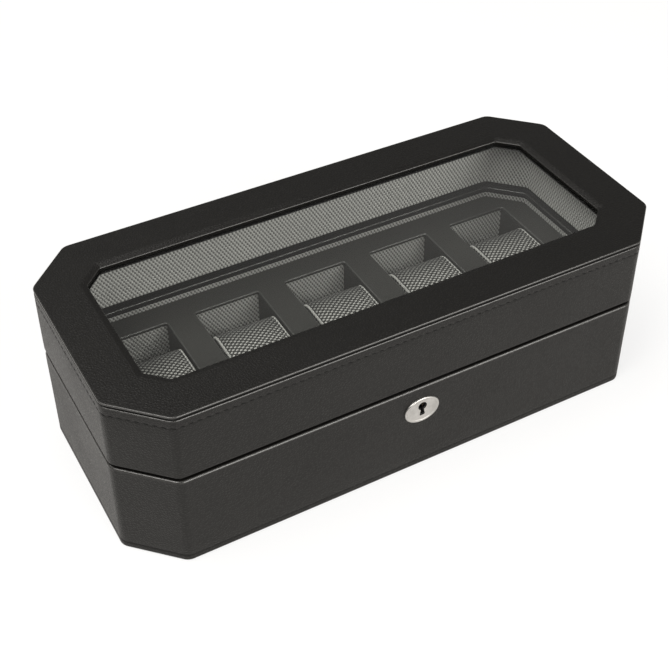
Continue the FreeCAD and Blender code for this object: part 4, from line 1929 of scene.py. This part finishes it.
@dataclass
class Studio:
    """Pale floor, soft light and the camera at the photograph's angle."""

    eye: Point = (-0.278175, -0.487872, 0.534125)
    gaze: Point = (0.384893, 0.680278, -0.623762)
    roll: float = 0.003117
    shift: Spot = (-0.02201, -0.09308)
    lens: float = 68.29
    sensor: float = 36.0
    floor_size: float = 12.0
    floor_colour: Colour = (0.95, 0.95, 0.95)
    floor_cloud: float = 0.5
    floor_roughness: float = 0.9
    floor_specular: float = 0.1
    floor_glow: Colour = (1.0, 0.965, 0.915)
    floor_white: float = 0.75
    room_colour: Colour = (1.0, 0.98, 0.945)
    room_greys: tuple[Spot, ...] = ((0.0, 0.18), (0.35, 0.26), (0.5, 0.4), (0.58, 0.38), (0.68, 0.25), (1.0, 0.22))
    far_side: Colour = (0.16, 0.157, 0.15)
    far_side_ends: Spot = (-0.6, 0.5)
    lamp_colour: Colour = (1.0, 0.975, 0.935)
    lamp_aim: Point = (0.0, 0.0, 0.05)
    lamps: tuple[Lamp, ...] = (
        Lamp("ceiling_lamp", (-0.55, 0.25, 1.6), 1.6, 1.2, 25.0),
        Lamp("front_lamp", (0.5, -1.5, 0.8), 1.3, 1.2, 29.0),
        Lamp("left_lamp", (-0.95, -0.5, 1.25), 0.5, 0.5, 7.0),
    )

    def floor(self) -> None:
        """Adds the floor, which the eye and gloss see nearly white, with the box's shadow kept on it."""
        mesh = bpy.data.meshes.new("studio_floor")
        half = self.floor_size / 2
        mesh.from_pydata([(-half, -half, 0), (half, -half, 0), (half, half, 0), (-half, half, 0)], [], [(0, 1, 2, 3)])
        floor = bpy.data.objects.new("studio_floor", mesh)
        bpy.context.scene.collection.objects.link(floor)
        material, nodes = new_material("pale_floor")
        clouds = nodes.noise(nodes.place(), self.floor_cloud)
        tone = nodes.mix(clouds * 0.2, self.floor_colour, toned(self.floor_colour, 0.98))
        matt = {"Base Color": tone, "Roughness": self.floor_roughness, "Specular IOR Level": self.floor_specular}
        lit = nodes.node("ShaderNodeBsdfPrincipled", {}, matt)
        rays = ("Is Camera Ray", "Is Glossy Ray", "Is Transmission Ray")
        seen, glossy, through = (nodes.node("ShaderNodeLightPath", output=ray) for ray in rays)
        white = nodes.node("ShaderNodeEmission", {}, {"Color": WHITE, "Strength": 1.0})
        warm = nodes.node("ShaderNodeEmission", {}, {"Color": self.floor_glow, "Strength": 1.0})
        glow = nodes.node("ShaderNodeMixShader", {}, {0: seen, 1: warm, 2: white})
        share = (seen + glossy + through).step(0.0, 1.0) * self.floor_white
        mixed = nodes.node("ShaderNodeMixShader", {}, {0: share, 1: lit, 2: glow})
        nodes.node("ShaderNodeOutputMaterial", {}, {"Surface": mixed})
        material.cycles.emission_sampling = "NONE"
        mesh.materials.append(material)

    def world(self) -> None:
        """Dim room, a little paler low on the right, that the eye itself sees as a white backdrop."""
        world = bpy.data.worlds.new("studio_room")
        bpy.context.scene.world = world
        world.use_nodes = True
        nodes = Nodes(world.node_tree)
        where = nodes.node("ShaderNodeTexCoord", output="Generated")
        height, side = nodes.axis(where, "Z"), nodes.axis(where, "X")
        stops = [(place, toned(self.room_colour, grey)) for place, grey in self.room_greys]
        tone = nodes.node("ShaderNodeValToRGB", {"stops": stops}, {0: height})
        room = nodes.mix(side.step(*self.far_side_ends), self.far_side, tone)
        seen = nodes.node("ShaderNodeLightPath", output="Is Camera Ray")
        light = nodes.node("ShaderNodeBackground", {}, {"Color": nodes.mix(seen, room, WHITE), "Strength": 1.0})
        nodes.node("ShaderNodeOutputWorld", {}, {"Surface": light})

    def light(self, glass: bpy.types.Object) -> None:
        """Adds the lamps, which face the box.

        Args:
            glass: The window, which the lamps leave without a glare, so that the inside shows from all round.
        """
        spared = bpy.data.collections.new("without_glare")
        spared.objects.link(glass)
        spared.collection_objects[0].light_linking.link_state = "EXCLUDE"
        for lamp in self.lamps:
            light = bpy.data.lights.new(lamp.name, "AREA")
            light.shape = "RECTANGLE"
            light.size = lamp.width
            light.size_y = lamp.depth
            light.energy = lamp.power
            light.color = self.lamp_colour
            stand = bpy.data.objects.new(lamp.name, light)
            stand.location = lamp.place
            stand.light_linking.receiver_collection = spared
            stand.rotation_euler = (Vector(self.lamp_aim) - Vector(lamp.place)).to_track_quat("-Z", "Y").to_euler()
            bpy.context.scene.collection.objects.link(stand)

    def camera(self) -> None:
        """Adds the camera."""
        data = bpy.data.cameras.new("photo_camera")
        data.lens = self.lens
        data.sensor_width = self.sensor
        camera = bpy.data.objects.new("photo_camera", data)
        camera.location = self.eye
        level = Vector(self.gaze).to_track_quat("-Z", "Y")
        camera.rotation_euler = (level @ Quaternion((0, 0, 1), self.roll)).to_euler()
        data.shift_x, data.shift_y = self.shift
        bpy.context.scene.collection.objects.link(camera)
        bpy.context.scene.camera = camera

    def build(self, glass: bpy.types.Object) -> None:
        """Adds the floor, the light and the camera.

        Args:
            glass: The window of the box.
        """
        bpy.context.scene.view_settings.view_transform = "Standard"
        self.floor()
        self.world()
        self.light(glass)
        self.camera()


def main() -> None:
    """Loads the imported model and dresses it, one sub-assembly after the other."""
    logging.basicConfig(level=logging.INFO, format="%(name)s: %(message)s")
    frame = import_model()
    outline = Outline()
    finishes = Finishes.build()
    lock = LockSet()
    hinges = HingeSet()
    tray = Tray(outline)
    base_cutters = [lock.keyhole(lock.covering_margin), lock.mortise()]
    base_cutters += [hinges.recess(place, *hinges.base_room) for place in hinges.places]
    lid_cutters = [lock.link_room()]
    lid_cutters += [hinges.recess(place, *hinges.lid_room) for place in hinges.places]
    BaseBox(outline).build(frame, finishes, base_cutters)
    Lid(outline).build(frame, finishes, lid_cutters)
    tray.build(finishes)
    CushionSet(tray.middles()).build(finishes)
    lock.build(frame, finishes)
    hinges.build(frame, finishes)
    Studio().build(frame["nodes"]["window_glass"])


if __name__ == "__main__":
    main()
